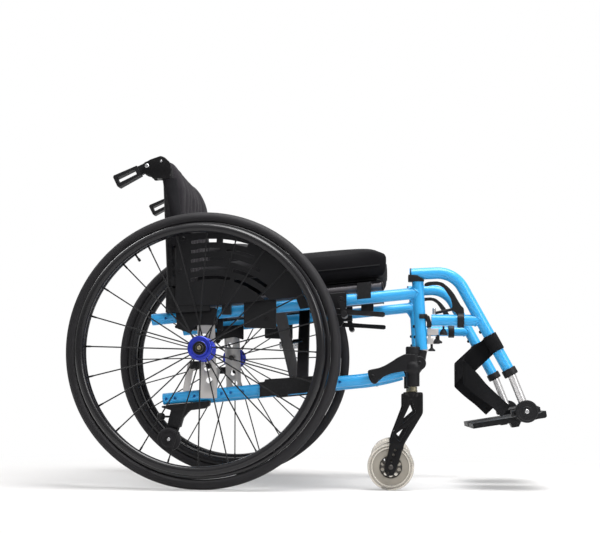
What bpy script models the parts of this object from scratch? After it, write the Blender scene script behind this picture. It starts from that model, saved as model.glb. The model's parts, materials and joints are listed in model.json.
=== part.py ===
# Active folding wheelchair, modelled piece by piece in metres, +Z up.
#
# +X points forward, +Y to the user's left and +Z up. The floor is z = 0. Side pieces are built
# once for a side value of -1 (right) or +1 (left). Inside the functions, x is counted from the
# rear axle; the empty "wheelchair" shifts everything so that the origin lies on the floor
# under the middle of the chair.
import math
from math import cos, pi, radians, sin, tan

import bmesh
import bpy
from mathutils import Matrix, Vector

for leftover in list(bpy.data.objects):
    bpy.data.objects.remove(leftover, do_unlink=True)

# Clearances
GAP = 0.0003            # between touching pieces
RUN = 0.0006            # between pieces that turn on each other
EPS = 0.002             # how far a cutter runs past what it cuts

# Rear wheels, 24 inch
WHEEL_R = 0.295         # tyre outside radius
TYRE_R = 0.0125         # radius of the tyre's section
TYRE_SEAT = WHEEL_R - 0.0221    # radius of the tyre's base on the rim
FLAT = 0.0005           # depth of the contact patch on each tyre
WHEEL_Y = 0.272         # wheel mid plane from the middle of the chair
CAMBER = radians(1.0)   # the wheel tops lean inwards
RIM_DEPTH = 0.0219
RIM_R = TYRE_SEAT - RIM_DEPTH   # inside radius of the rim
RIM_HALF = 0.0112       # half width of the rim
HANDRIM_R = WHEEL_R - 0.0405    # centre circle of the handrim
HANDRIM_TUBE = 0.0095
HANDRIM_OUT = 0.045     # handrim from the wheel's mid plane
SPOKES = 24
SPOKE_R = 0.0011
FLANGE_R = 0.026
HUB_R = 0.0155          # hub barrel
HUB_OUT = 0.0440        # outer and inner end of the hub from the mid plane
HUB_IN = 0.0295
AXLE_R = 0.00635        # half-inch quick-release axle
AXLE_HEAD_R = 0.0095
BUTTON_R = 0.0045
RIM_STEPS = 36          # facets round the tyre, rim and handrim

# Side frames, from straight tube
TUBE = 0.0125           # radius of every frame tube
FRAME_Y = 0.208         # centre of the side frame's tubes
TILT = radians(6.0)     # the frame rises to the front
TOP_Z = 0.3735          # height of the top tube above the rear axle
LOW_Z = 0.1980          # height of the lower tube there
TOP_REAR = -0.124       # rear ends of the two tubes
LOW_REAR = -0.0965
POST_TOP = Vector((0.4574, 0.4452))     # front post, (x, z) of its upper end
POST_LEAN = radians(3.2)
POST_FOOT_Z = 0.2985    # where the post stands on the caster housing
GUSSET_FOOT_Z = 0.3765  # lower end of the gusset behind the post
SPIGOT_R = 0.0088       # the post's spigot inside the housing
SPIGOT = 0.034
LOW_BEND_X = 0.330      # the lower tube bends up from here
LOW_BEND = radians(12.0)
LOW_BEND_LEN = 0.099
TUBE_HOLE = 0.003       # radius of the adjustment holes

# Casters
CASTER_X = 0.4465       # swivel axis
CASTER_Y = 0.218
CASTER_R = 0.050
CASTER_HALF = 0.0125    # half width of the caster wheel
TRAIL = 0.0470
SLEEVE_R = 0.0150       # swivel bearing sleeve
SLEEVE_Z = (0.2200, 0.2900)
CAP_TOP = 0.3055
STEM_R = 0.0060
COLLAR_R = 0.0095       # brass collar under the sleeve
FORK_TOP = 0.2078
FORK_PLATE = 0.0040
FORK_HALF = 0.0190      # half width over the fork plates
CASTER_AXLE_R = 0.0040

# Axle plates
PLATE = 0.0050          # plate thickness
PLATE_W = 0.038
PLATE_HOLES = ((0.046, 0.0045), (-0.0345, 0.0042), (-0.0625, 0.0070))
BOSS_R = 0.0150

# Backrest and push handles
CANE = 0.0110           # radius of the back canes
CANE_X = -0.0757        # cane centre at the height CANE_Z
CANE_Z = 0.3776
CANE_LEAN = radians(3.3)
CANE_TOP = 0.7000
CANE_TOP_X = CANE_X - (CANE_TOP - CANE_Z) * tan(CANE_LEAN)
BRACKET = 0.0115        # thickness of the cane's foot bracket
HANDLE_PIVOT = Vector((CANE_TOP_X - 0.04401053, CANE_TOP + 0.0006))
HANDLE_DROOP = radians(26.4)
HANDLE_LEN = 0.079
HANDLE_H = 0.029
HANDLE_SLOT = 0.012
HANDLE_W = 0.024
HANDLE_EYE = 0.0115
HANDLE_PIN = 0.0030
CHEEK = 0.0045
TONGUE_HALF = 0.0070

# Folding cross brace
PIVOT_Y = 0.182         # lower hinges and seat rails, from the middle of the chair
PIVOT_UP = 0.005        # lower hinge line above the lower tube
RAIL_UP = 0.025         # seat rail above the top tube
RAIL = 0.0100
RAIL_X = (-0.010, 0.382)
SLEEVE = 0.0105         # hinge sleeve on the foot of each arm
SLEEVE_X = (0.1475, 0.2345)
HINGE_PIN = 0.0040
HINGE_PIN_LEN = 0.016
ARM_W = 0.026           # arm section along the tubes, and across
ARM_T = 0.015
ARM_X = {"a": 0.2070, "b": 0.1690}
BOLT_R = 0.0050
CRADLE_X = WHEEL_R + 0.0465     # clip that the seat rail drops into
CRADLE_LEN = 0.030

# Brakes
BRAKE_X = (WHEEL_R - 0.049, WHEEL_R + 0.009)
LEVER_X = WHEEL_R - 0.0330
LEVER_PIVOT = Vector((LEVER_X, TOP_Z + LEVER_X * tan(TILT) - 0.02103731))
LEVER_TIP = LEVER_PIVOT + Vector((0.1248, -0.0076))
SHOE_R = 0.0070
SHOE_GAP = 0.0080
SHOE_DROP = 0.03396035  # shoe below its pivot
BRAKE_PIN = 0.0030

# Swing-away hangers and footrests
HANG = 0.0127           # hanger tube radius
HANG_REAR = Vector((0.4384, 0.4614))
HANG_RISE = radians(2.8)
HANG_DROP = radians(61.3)
HANG_BEND_R = 0.060
HANG_END = Vector((0.6496, 0.2579))
BAR_Z = 0.3624          # the hanger's level lower tube
BAR_X = 0.4862
BAR = 0.0123            # its radius
PIN_R = 0.0050          # swing pin in the post
PIN_LEN = 0.040
EXT_R = 0.0090          # silver extension tube
EXT_IN = 0.110          # how far it reaches up inside the hanger
EXT_GAP = 0.0004
COLLAR = 0.0158
HUB_C = Vector((0.6872, 0.1688))        # footplate hub centre
HUB_DISC_R = 0.0240
PLATE_PITCH = radians(9.5)
FOOT_Y = (0.020, 0.166)         # inner and outer edge of each footplate
FOOT_BACK = 0.114               # reach behind and before the hub, along the plate
FOOT_FRONT = 0.046
FOOT_T = 0.012
FOOT_LIP = 0.003        # chamfer and raised lip of its front edge
FOOT_DROP = 0.015               # plate's middle below its hinge
HINGE_Y = 0.178                 # footplate hinge line
KNUCKLE = 0.0072
YOKE = (0.0305, 0.0225)         # half width over and between the hinge ears
STRAP_W = 0.038
STRAP_T = 0.0030

# Seat and back
SEAT_X = (-0.030, 0.390)
SEAT_HALF = 0.197
SEAT_T = 0.074
SEAT_CROWN = 0.008
SEAT_DRAW = 0.005
SLING_T = 0.0025
SLING_SAG = 0.010
BACK_Z = (CANE_TOP - 0.230, CANE_TOP + 0.012)
BACK_T = 0.024
BACK_SAG = 0.022
SLEEVE_BACK_Z = (CANE_TOP - 0.178, CANE_TOP - 0.026)    # hems of the back round the canes
SLEEVE_BACK_W = 0.033
SLEEVE_BACK_T = 0.0025

# Side guards
GUARD_T = 0.0045
GUARD_Y = 0.2365        # inner face
GUARD_R = WHEEL_R - 0.023       # outside edge, from the rear axle
GUARD_REAR = -0.066
SLOT_H = 0.0075
SLOT_PITCH = 0.020

# Anti-tip wheel, right side only
TIP_X = (-0.1100, 0.0080)
TIP_WHEEL = Vector((-0.0760, 0.1025))
TIP_R = 0.0250
TIP_HALF = 0.010
TIP_PLATE = 0.0060
TIP_KNOB_R = 0.0080
TIP_STEM_R = 0.0024      # plunger stem in the leg
TIP_AXLE_R = 0.0032

# Worked out from the sizes above
AXLE_Z = (WHEEL_R - TYRE_R) * cos(CAMBER) + TYRE_R - FLAT
CASTER_Z = CASTER_R - FLAT
FRONT_REACH = (HUB_C.x + FOOT_FRONT * cos(PLATE_PITCH)
               + (FOOT_DROP + FOOT_T / 2 - FOOT_LIP) * sin(PLATE_PITCH))
ORIGIN_X = (FRONT_REACH - WHEEL_R) / 2
T_DIR = Vector((cos(TILT), 0.0, sin(TILT)))
DROP = Vector((cos(HANG_DROP), -sin(HANG_DROP)))
FRAME_OUT = FRAME_Y + TUBE              # outside of the frame tubes
PLATE_OUT = FRAME_OUT + GAP + PLATE     # outside of the axle plate
BRACKET_OUT = PLATE_OUT + GAP + 0.006   # outside of the cane's foot bracket
BACK_HALF = FRAME_Y - TONGUE_HALF - RUN - CHEEK - GAP   # half width of the back panel


def top_z(x):
    """Height of the top tube's centre at x."""
    return TOP_Z + x * tan(TILT)


def low_z(x):
    """Height of the lower tube's centre at x."""
    return LOW_Z + x * tan(TILT)


def post_x(z):
    """The front post's centre at height z."""
    return POST_TOP.x + (POST_TOP.y - z) * tan(POST_LEAN)


def cane_x(z):
    """The back cane's centre at height z."""
    return CANE_X - (z - CANE_Z) * tan(CANE_LEAN)


def rail_z(x):
    """Height of the seat rail's centre at x."""
    return top_z(x) + RAIL_UP


def at(p, y):
    """A point from its (x, z) in the side view and its y."""
    return Vector((p[0], y, p[1]))


# Materials
PALETTE = {
    "blue_paint": ((0.075, 0.39, 0.80), 0.22, 0.0),
    "black_cast": ((0.020, 0.020, 0.022), 0.45, 0.0),
    "black_plastic": ((0.024, 0.024, 0.026), 0.50, 0.0),
    "tyre": ((0.028, 0.028, 0.030), 0.70, 0.0),
    "rim_black": ((0.012, 0.012, 0.013), 0.18, 0.0),
    "hub_blue": ((0.035, 0.060, 0.62), 0.25, 0.7),
    "aluminium": ((0.60, 0.58, 0.57), 0.38, 0.9),
    "silver_tube": ((0.62, 0.60, 0.60), 0.35, 0.8),
    "steel": ((0.55, 0.55, 0.56), 0.25, 1.0),
    "brace_grey": ((0.060, 0.056, 0.058), 0.45, 0.2),
    "clear_grip": ((0.50, 0.48, 0.44), 0.20, 0.0),
    "seat_fabric": ((0.014, 0.014, 0.015), 0.85, 0.0),
    "back_fabric": ((0.040, 0.036, 0.040), 0.85, 0.0),
    "webbing": ((0.018, 0.018, 0.018), 0.80, 0.0),
}


def material(name):
    """One Principled material for each finish, made once."""
    if name in bpy.data.materials:
        return bpy.data.materials[name]
    colour, roughness, metallic = PALETTE[name]
    made = bpy.data.materials.new(name)
    made.use_nodes = True
    shader = made.node_tree.nodes["Principled BSDF"]
    shader.inputs["Base Color"].default_value = (*colour, 1.0)
    shader.inputs["Roughness"].default_value = roughness
    shader.inputs["Metallic"].default_value = metallic
    made.diffuse_color = (*colour, 1.0)
    return made


# Mesh tools
def cleaned(bm):
    """Merge doubles and turn every face outwards."""
    bmesh.ops.remove_doubles(bm, verts=bm.verts, dist=0.00002)
    bmesh.ops.recalc_face_normals(bm, faces=bm.faces)
    return bm


def sweep(points, rings):
    """Carry a ring of points along a path. rings[i] holds the corners at points[i]."""
    bm = bmesh.new()
    face = bm.faces.new([bm.verts.new(points[0] + corner) for corner in rings[0]])
    for point, ring in zip(points[1:], rings[1:]):
        grown = bmesh.ops.extrude_discrete_faces(bm, faces=[face])["faces"][0]
        for vert, corner in zip(grown.verts, ring):
            vert.co = point + corner
        face = grown
    # the starting face was lifted off by the first extrusion, so close that end again
    edges = [edge for edge in bm.edges if edge.is_boundary]
    if edges:
        bmesh.ops.holes_fill(bm, edges=edges)
    return cleaned(bm)


def frames_along(points, up):
    """Two axes square to a path at each point, the first as near to up as it can be."""
    frames = []
    for i in range(len(points)):
        ahead = points[min(i + 1, len(points) - 1)] - points[max(i - 1, 0)]
        side = ahead.cross(up).normalized()
        frames.append((side.cross(ahead).normalized(), side))
    return frames


def tube(points, radius, sides=12, up=Vector((0, 1, 0))):
    """A round bar along a path of points."""
    rings = []
    for a, b in frames_along(points, up):
        ring = []
        for i in range(sides):
            angle = 2 * pi * (i + 0.5) / sides
            ring.append((a * cos(angle) + b * sin(angle)) * radius)
        rings.append(ring)
    return sweep(points, rings)


def strip(points, width, thickness, up):
    """A flat bar along a path, its thickness measured along up."""
    widths = width if isinstance(width, (list, tuple)) else [width] * len(points)
    rings = []
    for (a, b), wide in zip(frames_along(points, up), widths):
        corners = ((-1, -1), (1, -1), (1, 1), (-1, 1))
        rings.append([b * (wide / 2 * u) + a * (thickness / 2 * v) for u, v in corners])
    return sweep(points, rings)


def lathe(profile, segments, matrix=None):
    """Spin a closed (radius, height) profile round the local Z axis, from the local X axis on."""
    bm = bmesh.new()
    verts = [bm.verts.new((r, 0, z)) for r, z in profile]
    edges = [bm.edges.new((verts[i], verts[(i + 1) % len(verts)])) for i in range(len(verts))
             if not (profile[i][0] == 0 and profile[(i + 1) % len(verts)][0] == 0)]
    bmesh.ops.spin(bm, geom=verts + edges, cent=(0, 0, 0), axis=(0, 0, 1), angle=2 * pi,
                   steps=segments, use_merge=True)
    if matrix:
        bmesh.ops.transform(bm, matrix=matrix, verts=bm.verts)
    return cleaned(bm)


def turned(radius, start, end, segments=16):
    """A plain round bar between two points."""
    crosswise = abs((end - start).normalized().y) > 0.9
    return tube([start, end], radius, segments, Vector((1, 0, 0)) if crosswise else Vector((0, 1, 0)))


def turned_ring(profile, start, direction, segments=20):
    """A lathe profile set on start, its axis along direction."""
    turn = direction.to_track_quat('Z', 'X').to_matrix().to_4x4()
    return lathe(profile, segments, Matrix.Translation(start) @ turn)


def plate(outline, y0, y1):
    """An outline in the side view, (x, z), made solid between two values of y."""
    bm = bmesh.new()
    face = bm.faces.new([bm.verts.new((x, y0, z)) for x, z in outline])
    grown = bmesh.ops.extrude_face_region(bm, geom=[face])["geom"]
    moved = [item for item in grown if isinstance(item, bmesh.types.BMVert)]
    bmesh.ops.translate(bm, verts=moved, vec=(0, y1 - y0, 0))
    return cleaned(bm)


def slab(outline, z0, z1):
    """An outline seen from above, (x, y), made solid between two heights."""
    bm = bmesh.new()
    face = bm.faces.new([bm.verts.new((x, y, z0)) for x, y in outline])
    grown = bmesh.ops.extrude_face_region(bm, geom=[face])["geom"]
    moved = [item for item in grown if isinstance(item, bmesh.types.BMVert)]
    bmesh.ops.translate(bm, verts=moved, vec=(0, 0, z1 - z0))
    return cleaned(bm)


def block(x, y, z):
    """A box between two values on each axis."""
    return plate([(x[0], z[0]), (x[1], z[0]), (x[1], z[1]), (x[0], z[1])], y[0], y[1])


def along_tube(outline, height_at):
    """An outline given as (x, height over the tube's centre), set on the tilted tube."""
    return [(x, height_at(x) + up) for x, up in outline]


def arc(centre, radius, start, end, steps):
    """Points of an arc in the side view."""
    points = []
    for i in range(steps + 1):
        angle = start + (end - start) * i / steps
        points.append((centre[0] + radius * cos(angle), centre[1] + radius * sin(angle)))
    return points


def solid(bm, name):
    """An object from a bmesh, for the Boolean tools."""
    mesh = bpy.data.meshes.new(name)
    bm.to_mesh(mesh)
    bm.free()
    item = bpy.data.objects.new(name, mesh)
    bpy.context.scene.collection.objects.link(item)
    return item


def boolean(base, bm, operation):
    """Apply one exact Boolean with the bmesh as its tool."""
    tool = solid(bm, "tool")
    cut = base.modifiers.new(operation, 'BOOLEAN')
    cut.operation = operation
    cut.solver = 'EXACT'
    cut.object = tool
    bpy.context.view_layer.update()
    result = base.evaluated_get(bpy.context.evaluated_depsgraph_get())
    mesh = bpy.data.meshes.new_from_object(result)
    base.modifiers.clear()
    base.data = mesh
    bpy.data.objects.remove(tool, do_unlink=True)


def combined(pieces, cutters=()):
    """Weld pieces into one body and then take the cutters out of it."""
    base = solid(pieces[0], "base")
    for piece in pieces[1:]:
        boolean(base, piece, 'UNION')
    for cutter in cutters:
        boolean(base, cutter, 'DIFFERENCE')
    bm = bmesh.new()
    bm.from_mesh(base.data)
    bpy.data.objects.remove(base, do_unlink=True)
    return cleaned(bm)


def together(pieces):
    """Bodies that don't touch each other, in one mesh for a single Boolean."""
    whole = bmesh.new()
    for piece_bm in pieces:
        mesh = bpy.data.meshes.new("piece")
        piece_bm.to_mesh(mesh)
        piece_bm.free()
        whole.from_mesh(mesh)
        bpy.data.meshes.remove(mesh)
    return whole


def shifted(bm, matrix):
    """The bmesh after a transform."""
    bmesh.ops.transform(bm, matrix=matrix, verts=bm.verts)
    return bm


def flattened(bm, height):
    """Cut a tyre level at the floor, which leaves its contact patch."""
    geom = bm.verts[:] + bm.edges[:] + bm.faces[:]
    bmesh.ops.bisect_plane(bm, geom=geom, plane_co=(0, 0, height), plane_no=(0, 0, -1),
                           clear_outer=True)
    bmesh.ops.holes_fill(bm, edges=[edge for edge in bm.edges if edge.is_boundary])
    return cleaned(bm)


# Placing the pieces
def empty(name, location, parent=None):
    """An empty on a joint's axis."""
    item = bpy.data.objects.new(name, None)
    item.empty_display_size = 0.03
    bpy.context.scene.collection.objects.link(item)
    item.parent = parent
    item.location = location if parent is None else location - parent_place(parent)
    return item


PLACES = {}


def parent_place(item):
    """Where an empty stands, counted from the rear axle."""
    return PLACES.get(item.name, Vector((0, 0, 0)))


def joint(name, location, parent):
    """A joint's empty, which the moving pieces hang on."""
    item = empty(name, Vector(location), parent)
    PLACES[item.name] = Vector(location)
    return item


def piece(name, bm, finish, parent, smooth=35):
    """Name a finished mesh, give it its finish and hang it on its parent."""
    shifted(bm, Matrix.Translation(-parent_place(parent)))
    item = solid(bm, name)
    item.data.name = name
    item.data.materials.append(material(finish))
    item.data.shade_smooth()
    item.data.set_sharp_from_angle(angle=radians(smooth))
    item.parent = parent
    return item


def side_name(side):
    """The user's right is -Y."""
    return "left" if side > 0 else "right"


# Rear wheels
def wheel_matrix(side):
    """From the wheel's own axes, +Z outboard, to its cambered place."""
    outward = Vector((0, side * cos(CAMBER), sin(CAMBER)))
    forward = Vector((1, 0, 0))
    third = outward.cross(forward)
    turn = Matrix((forward, third, outward)).transposed().to_4x4()
    return Matrix.Translation((0, side * WHEEL_Y, AXLE_Z)) @ turn


def tyre(place):
    """A round-section tyre with a level base, flat where it meets the floor."""
    centre = WHEEL_R - TYRE_R
    opening = radians(135)
    profile = []
    for i in range(7):
        angle = -opening + 2 * opening * i / 6
        profile.append((centre + TYRE_R * cos(angle), TYRE_R * sin(angle)))
    profile[0] = (TYRE_SEAT, profile[0][1])
    profile[-1] = (TYRE_SEAT, profile[-1][1])
    return flattened(lathe(profile, RIM_STEPS, place), 0.0)


def rim(place):
    """A deep box rim under the tyre."""
    seat = TYRE_SEAT - GAP
    shoulder = RIM_R + 0.0035
    profile = ((RIM_R, -RIM_HALF * 0.4), (shoulder, -RIM_HALF), (seat, -RIM_HALF),
               (seat, RIM_HALF), (shoulder, RIM_HALF), (RIM_R, RIM_HALF * 0.4))
    return lathe(profile, RIM_STEPS, place)


def spoke_angle(index):
    """Where a spoke meets the rim. They stand evenly round it."""
    return radians(-1.1) + 2 * pi * index / SPOKES


def spokes():
    """Spokes in pairs: both leave the hub at one angle, one from each flange."""
    bars = []
    for index in range(SPOKES):
        pair = (spoke_angle(index - index % 2) + spoke_angle(index - index % 2 + 1)) / 2
        foot = FLANGE_R - 0.0068
        depth = HUB_OUT - 0.004 if index % 2 == 0 else -(HUB_IN - 0.006)
        start = Vector((foot * cos(pair), foot * sin(pair), depth))
        reach = RIM_R * cos(pi / RIM_STEPS) - 0.0007
        angle = spoke_angle(index)
        end = Vector((reach * cos(angle), reach * sin(angle), 0))
        bars.append(turned(SPOKE_R, start, end, 4))
    return together(bars)


def hub_and_spokes(place):
    """A turned hub shell with two flanges and a bore for the axle, and the spokes set in it."""
    bore = AXLE_R + RUN
    profile = ((bore, -HUB_IN), (HUB_R, -HUB_IN), (FLANGE_R, -HUB_IN + 0.003),
               (FLANGE_R, -HUB_IN + 0.008), (HUB_R, -HUB_IN + 0.013),
               (HUB_R, HUB_OUT - 0.015), (FLANGE_R, HUB_OUT - 0.007), (FLANGE_R, HUB_OUT - 0.001),
               (0.0128, HUB_OUT), (0.0128, HUB_OUT - 0.004), (bore, HUB_OUT - 0.004))
    return shifted(combined([lathe(profile, 16), spokes()]), place)


def handrim(place):
    """The push rim on six spacers that stand on the wheel rim."""
    profile = []
    for i in range(6):
        angle = 2 * pi * i / 6
        profile.append((HANDRIM_R + HANDRIM_TUBE * cos(angle), HANDRIM_OUT + HANDRIM_TUBE * sin(angle)))
    parts = [lathe(profile, RIM_STEPS)]
    for i in range(6):
        angle = spoke_angle(0) + radians(7.5) + pi / 3 * i
        stand = Vector((cos(angle), sin(angle), 0)) * (HANDRIM_R + 0.005)
        low = stand + Vector((0, 0, RIM_HALF + GAP))
        parts.append(turned(0.0040, low, stand + Vector((0, 0, HANDRIM_OUT - 0.002)), 6))
    return shifted(combined(parts), place)


def axle(place):
    """The quick-release axle: head, shank and the bore that its button slides in."""
    head = HUB_OUT - 0.004 + GAP
    top = head + 0.0075
    tail = -(WHEEL_Y - FRAME_Y + TUBE * 0.2)
    bore = BUTTON_R + GAP
    profile = ((0, tail), (AXLE_R, tail), (AXLE_R, head), (AXLE_HEAD_R, head), (AXLE_HEAD_R, top),
               (bore, top), (bore, head - 0.012), (0, head - 0.012))
    return lathe(profile, 12, place)


def button_top():
    """Outer end of the release button from the wheel's mid plane."""
    return HUB_OUT + 0.0085


def release_button(place):
    """The button that frees the axle's locking balls."""
    start = place @ Vector((0, 0, HUB_OUT - 0.0105))
    return turned(BUTTON_R, start, place @ Vector((0, 0, button_top())), 12)


def rear_wheel(side, root):
    """One rear wheel on its axle."""
    name = side_name(side)
    place = wheel_matrix(side)
    spin = joint("rear_wheel_axis_" + name, place.translation, root)
    piece("tyre_" + name, tyre(place), "tyre", spin)
    piece("wheel_rim_" + name, rim(place), "rim_black", spin)
    piece("hub_and_spokes_" + name, hub_and_spokes(place), "hub_blue", spin)
    piece("handrim_" + name, handrim(place), "rim_black", spin)
    piece("quick_release_axle_" + name, axle(place), "steel", root)
    slide = joint("release_button_slide_" + name, place @ Vector((0, 0, button_top())), root)
    piece("release_button_" + name, release_button(place), "steel", slide)


# Side frames
def upper_frame(side):
    """Top tube welded to the front post, with a gusset in the corner."""
    y = side * FRAME_Y
    top = tube([at((TOP_REAR, top_z(TOP_REAR)), y), at((post_x(top_z(0.455)), top_z(0.455)), y)], TUBE)
    foot = Vector((post_x(POST_FOOT_Z), POST_FOOT_Z))
    post = tube([at(POST_TOP, y), at(foot, y)], TUBE)
    down = (foot - POST_TOP).normalized()
    spigot = turned(SPIGOT_R, at(foot - down * EPS, y), at(foot + down * SPIGOT, y), 12)
    foot_z = GUSSET_FOOT_Z
    corner = [(0.418, top_z(0.418) - TUBE * 0.6), (post_x(foot_z) - TUBE * 0.6, foot_z),
              (post_x(foot_z), foot_z), (0.458, top_z(0.458))]
    gusset = plate(corner, y - 0.003, y + 0.003)
    bore = turned(PIN_R + GAP, at(POST_TOP - down * EPS, y), at(POST_TOP + down * (PIN_LEN + EPS), y), 12)
    hole = turned(TUBE_HOLE, Vector((-0.0895, y - TUBE - EPS, top_z(-0.0895))),
                  Vector((-0.0895, y + TUBE + EPS, top_z(-0.0895))), 8)
    return combined([top, post, spigot, gusset], [bore, hole])


def low_path():
    """The lower tube in the side view: straight, then one wide bend up to the caster."""
    start = Vector((LOW_BEND_X, low_z(LOW_BEND_X)))
    points = [Vector((LOW_REAR, low_z(LOW_REAR))), start]
    steps = 5
    for i in range(1, steps + 1):
        heading = TILT + LOW_BEND * (i - 0.5) / steps
        points.append(points[-1] + Vector((cos(heading), sin(heading))) * (LOW_BEND_LEN / steps))
    return points


def lower_tube(side):
    """Lower side tube with its row of adjustment holes."""
    y = side * FRAME_Y
    bar = tube([at(p, y) for p in low_path()], TUBE)
    holes = []
    for x in (-0.0850, -0.0660, 0.0350, 0.0550, 0.2900):
        holes.append(turned(TUBE_HOLE, Vector((x, y - TUBE - EPS, low_z(x))),
                            Vector((x, y + TUBE + EPS, low_z(x))), 6))
    return combined([bar], holes)


def axle_plate(side):
    """Plate across both tubes with the axle receiver and a slanting stay."""
    inner = side * (FRAME_OUT + GAP)
    outer = side * PLATE_OUT
    lean = Vector((-sin(TILT), cos(TILT)))
    across = Vector((cos(TILT), sin(TILT)))
    centre = Vector((0.0, AXLE_Z))
    high = (TOP_Z - AXLE_Z) / cos(TILT) + TUBE
    low = (AXLE_Z - LOW_Z) / cos(TILT) + TUBE * 0.6
    corners = []
    for u, v in ((-1, -low), (1, -low), (1, high - 0.006), (0.7, high), (-0.7, high), (-1, high - 0.006)):
        p = centre + across * (u * PLATE_W / 2) + lean * v
        corners.append((p.x, p.y))
    stay = [(-0.0375, 0.2700), (-0.0180, 0.2700), (-0.0390, low_z(-0.039) - 0.004),
            (-0.0580, low_z(-0.058) - 0.004)]
    receiver = [(-0.036, 0.2560), (0.012, 0.2560), (0.020, 0.3080), (0.014, 0.3240), (-0.020, 0.3240),
                (-0.036, 0.3000)]
    boss_end = WHEEL_Y - HUB_IN - RUN
    out = Vector((0, side * cos(CAMBER), sin(CAMBER)))
    axle_point = Vector((0, side * WHEEL_Y, AXLE_Z))
    pieces = [plate(corners, inner, outer), plate(stay, inner, outer),
              plate(receiver, inner, side * (PLATE_OUT + 0.006)),
              turned(BOSS_R, axle_point - out * (WHEEL_Y - FRAME_OUT - GAP - 0.002),
                     axle_point - out * (WHEEL_Y - boss_end), 14)]
    cutters = [turned(AXLE_R + RUN, axle_point - out * (WHEEL_Y - FRAME_OUT + EPS),
                      axle_point - out * 0.010, 12)]
    for v, radius in PLATE_HOLES:
        p = centre + lean * v
        cutters.append(turned(radius, at(p, inner - side * EPS), at(p, side * (PLATE_OUT + 0.01)), 10))
    return combined(pieces, cutters)


def caster_housing(side):
    """Cast housing: swivel sleeve, post socket and the arm that grips the lower tube."""
    y = side * CASTER_Y
    foot = at((post_x(POST_FOOT_Z), POST_FOOT_Z), side * FRAME_Y)
    down = Vector((sin(POST_LEAN), 0, -cos(POST_LEAN)))
    low, high = SLEEVE_Z
    body = ((0, low), (SLEEVE_R, low), (SLEEVE_R, low + 0.030), (0.0262, low + 0.039),
            (0.0268, low + 0.055), (SLEEVE_R + 0.0015, low + 0.067), (SLEEVE_R + 0.0015, CAP_TOP), (0, CAP_TOP))
    sleeve = lathe(body, 14, Matrix.Translation((CASTER_X, y, 0)))
    socket = turned(TUBE, foot + down * GAP, foot + down * (SPIGOT + 0.004), 12)
    end = low_path()[-1]
    nose = turned(TUBE * 0.85, at(end, side * FRAME_Y) + Vector((GAP, 0, 0)),
                  at(end, side * FRAME_Y) + Vector((0.014, side * 0.004, 0.003)), 10)
    inner = side * (FRAME_OUT + GAP)
    outer = side * (FRAME_OUT + 0.012)
    arm = [(0.4300, 0.2930), (0.4050, 0.2740), (0.3760, 0.2575), (0.3500, 0.2560), (0.3530, 0.2420),
           (0.3590, 0.2285), (0.3680, 0.2265), (0.3880, 0.2385), (0.4240, 0.2500), (0.4420, 0.2560)]
    web = plate(arm, inner, outer)
    bore = turned(SPIGOT_R + GAP, foot - down * EPS, foot + down * (SPIGOT + 0.001), 12)
    stem = turned(STEM_R + RUN, Vector((CASTER_X, y, low - EPS)), Vector((CASTER_X, y, high - 0.010)), 10)
    path = low_path()
    path[-1] = path[-1] + (path[-1] - path[-2]).normalized() * GAP
    tail = tube([at(p, side * FRAME_Y) for p in path], TUBE + GAP)
    seat = turned(TUBE + 0.0008, foot - down * 0.03, foot + down * GAP, 12)
    return combined([sleeve, socket, nose, web], [bore, stem, tail, seat])


def foot_bracket(side):
    """Side-view pieces of the bracket that clamps the cane to the top tube."""
    inner = side * (FRAME_OUT + GAP)
    outer = side * BRACKET_OUT
    grip = along_tube([(-0.088, -0.024), (-0.032, -0.028), (-0.032, 0.016), (-0.088, 0.018)], top_z)
    tongue = along_tube([(-0.034, -0.026), (0.028, -0.024), (0.032, 0.006), (-0.034, 0.015)], top_z)
    lug = [(cane_x(0.385) - 0.013, top_z(-0.09) + 0.012), (cane_x(0.385) + 0.013, top_z(-0.06) + 0.010),
           (cane_x(0.42) + 0.012, 0.4250), (cane_x(0.42) - 0.012, 0.4250)]
    return [plate(grip, inner, outer), plate(tongue, side * (PLATE_OUT + GAP), outer),
            plate(lug, side * (FRAME_Y - 0.002), outer)]


def handle_bracket(side):
    """Cheeks of the folding handle's pivot, and its pin."""
    px, pz = HANDLE_PIVOT
    y = side * FRAME_Y
    half = TONGUE_HALF + RUN + CHEEK
    outline = [(px - 0.0145, pz + 0.0120), (px + 0.0238, pz + 0.0280), (px + 0.0424, pz + 0.0135),
               (px + 0.0540, pz - 0.0040), (px + 0.0540, pz - 0.0230), (px + 0.0296, pz - 0.0221),
               (px + 0.0035, pz - 0.0185), (px - 0.0145, pz - 0.0130)]
    cheeks = plate(outline, y - half, y + half)
    slot_half = TONGUE_HALF + RUN
    slot = block((px - 0.05, px + HANDLE_EYE + RUN + 0.001), (y - slot_half, y + slot_half),
                 (pz - 0.05, pz + 0.05))
    pin = turned(HANDLE_PIN, Vector((px, y - half + 0.001, pz)), Vector((px, y + half - 0.001, pz)), 12)
    return cheeks, slot, pin


def back_cane(side):
    """Back cane with its foot bracket and the pivot bracket of the push handle."""
    y = side * FRAME_Y
    low = top_z(CANE_X) + TUBE + 0.0015
    bar = tube([at((cane_x(low), low), y), at((cane_x(CANE_TOP), CANE_TOP), y)], CANE, 12)
    cheeks, slot, pin = handle_bracket(side)
    hollow = tube([at((-0.12, top_z(-0.12)), y), at((0.06, top_z(0.06)), y)], TUBE + GAP)
    foot = foot_bracket(side)
    body = combined([cheeks], [slot])
    return combined([bar, body, pin] + foot, [hollow])


def arc_slot(centre, radius, start, end, y0, y1):
    """One curved slot of the side guard, as a cutter."""
    outer = arc(centre, radius + SLOT_H / 2, start, end, 3)
    inner = arc(centre, radius - SLOT_H / 2, end, start, 3)
    return plate(outer + inner, y0, y1)


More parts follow.
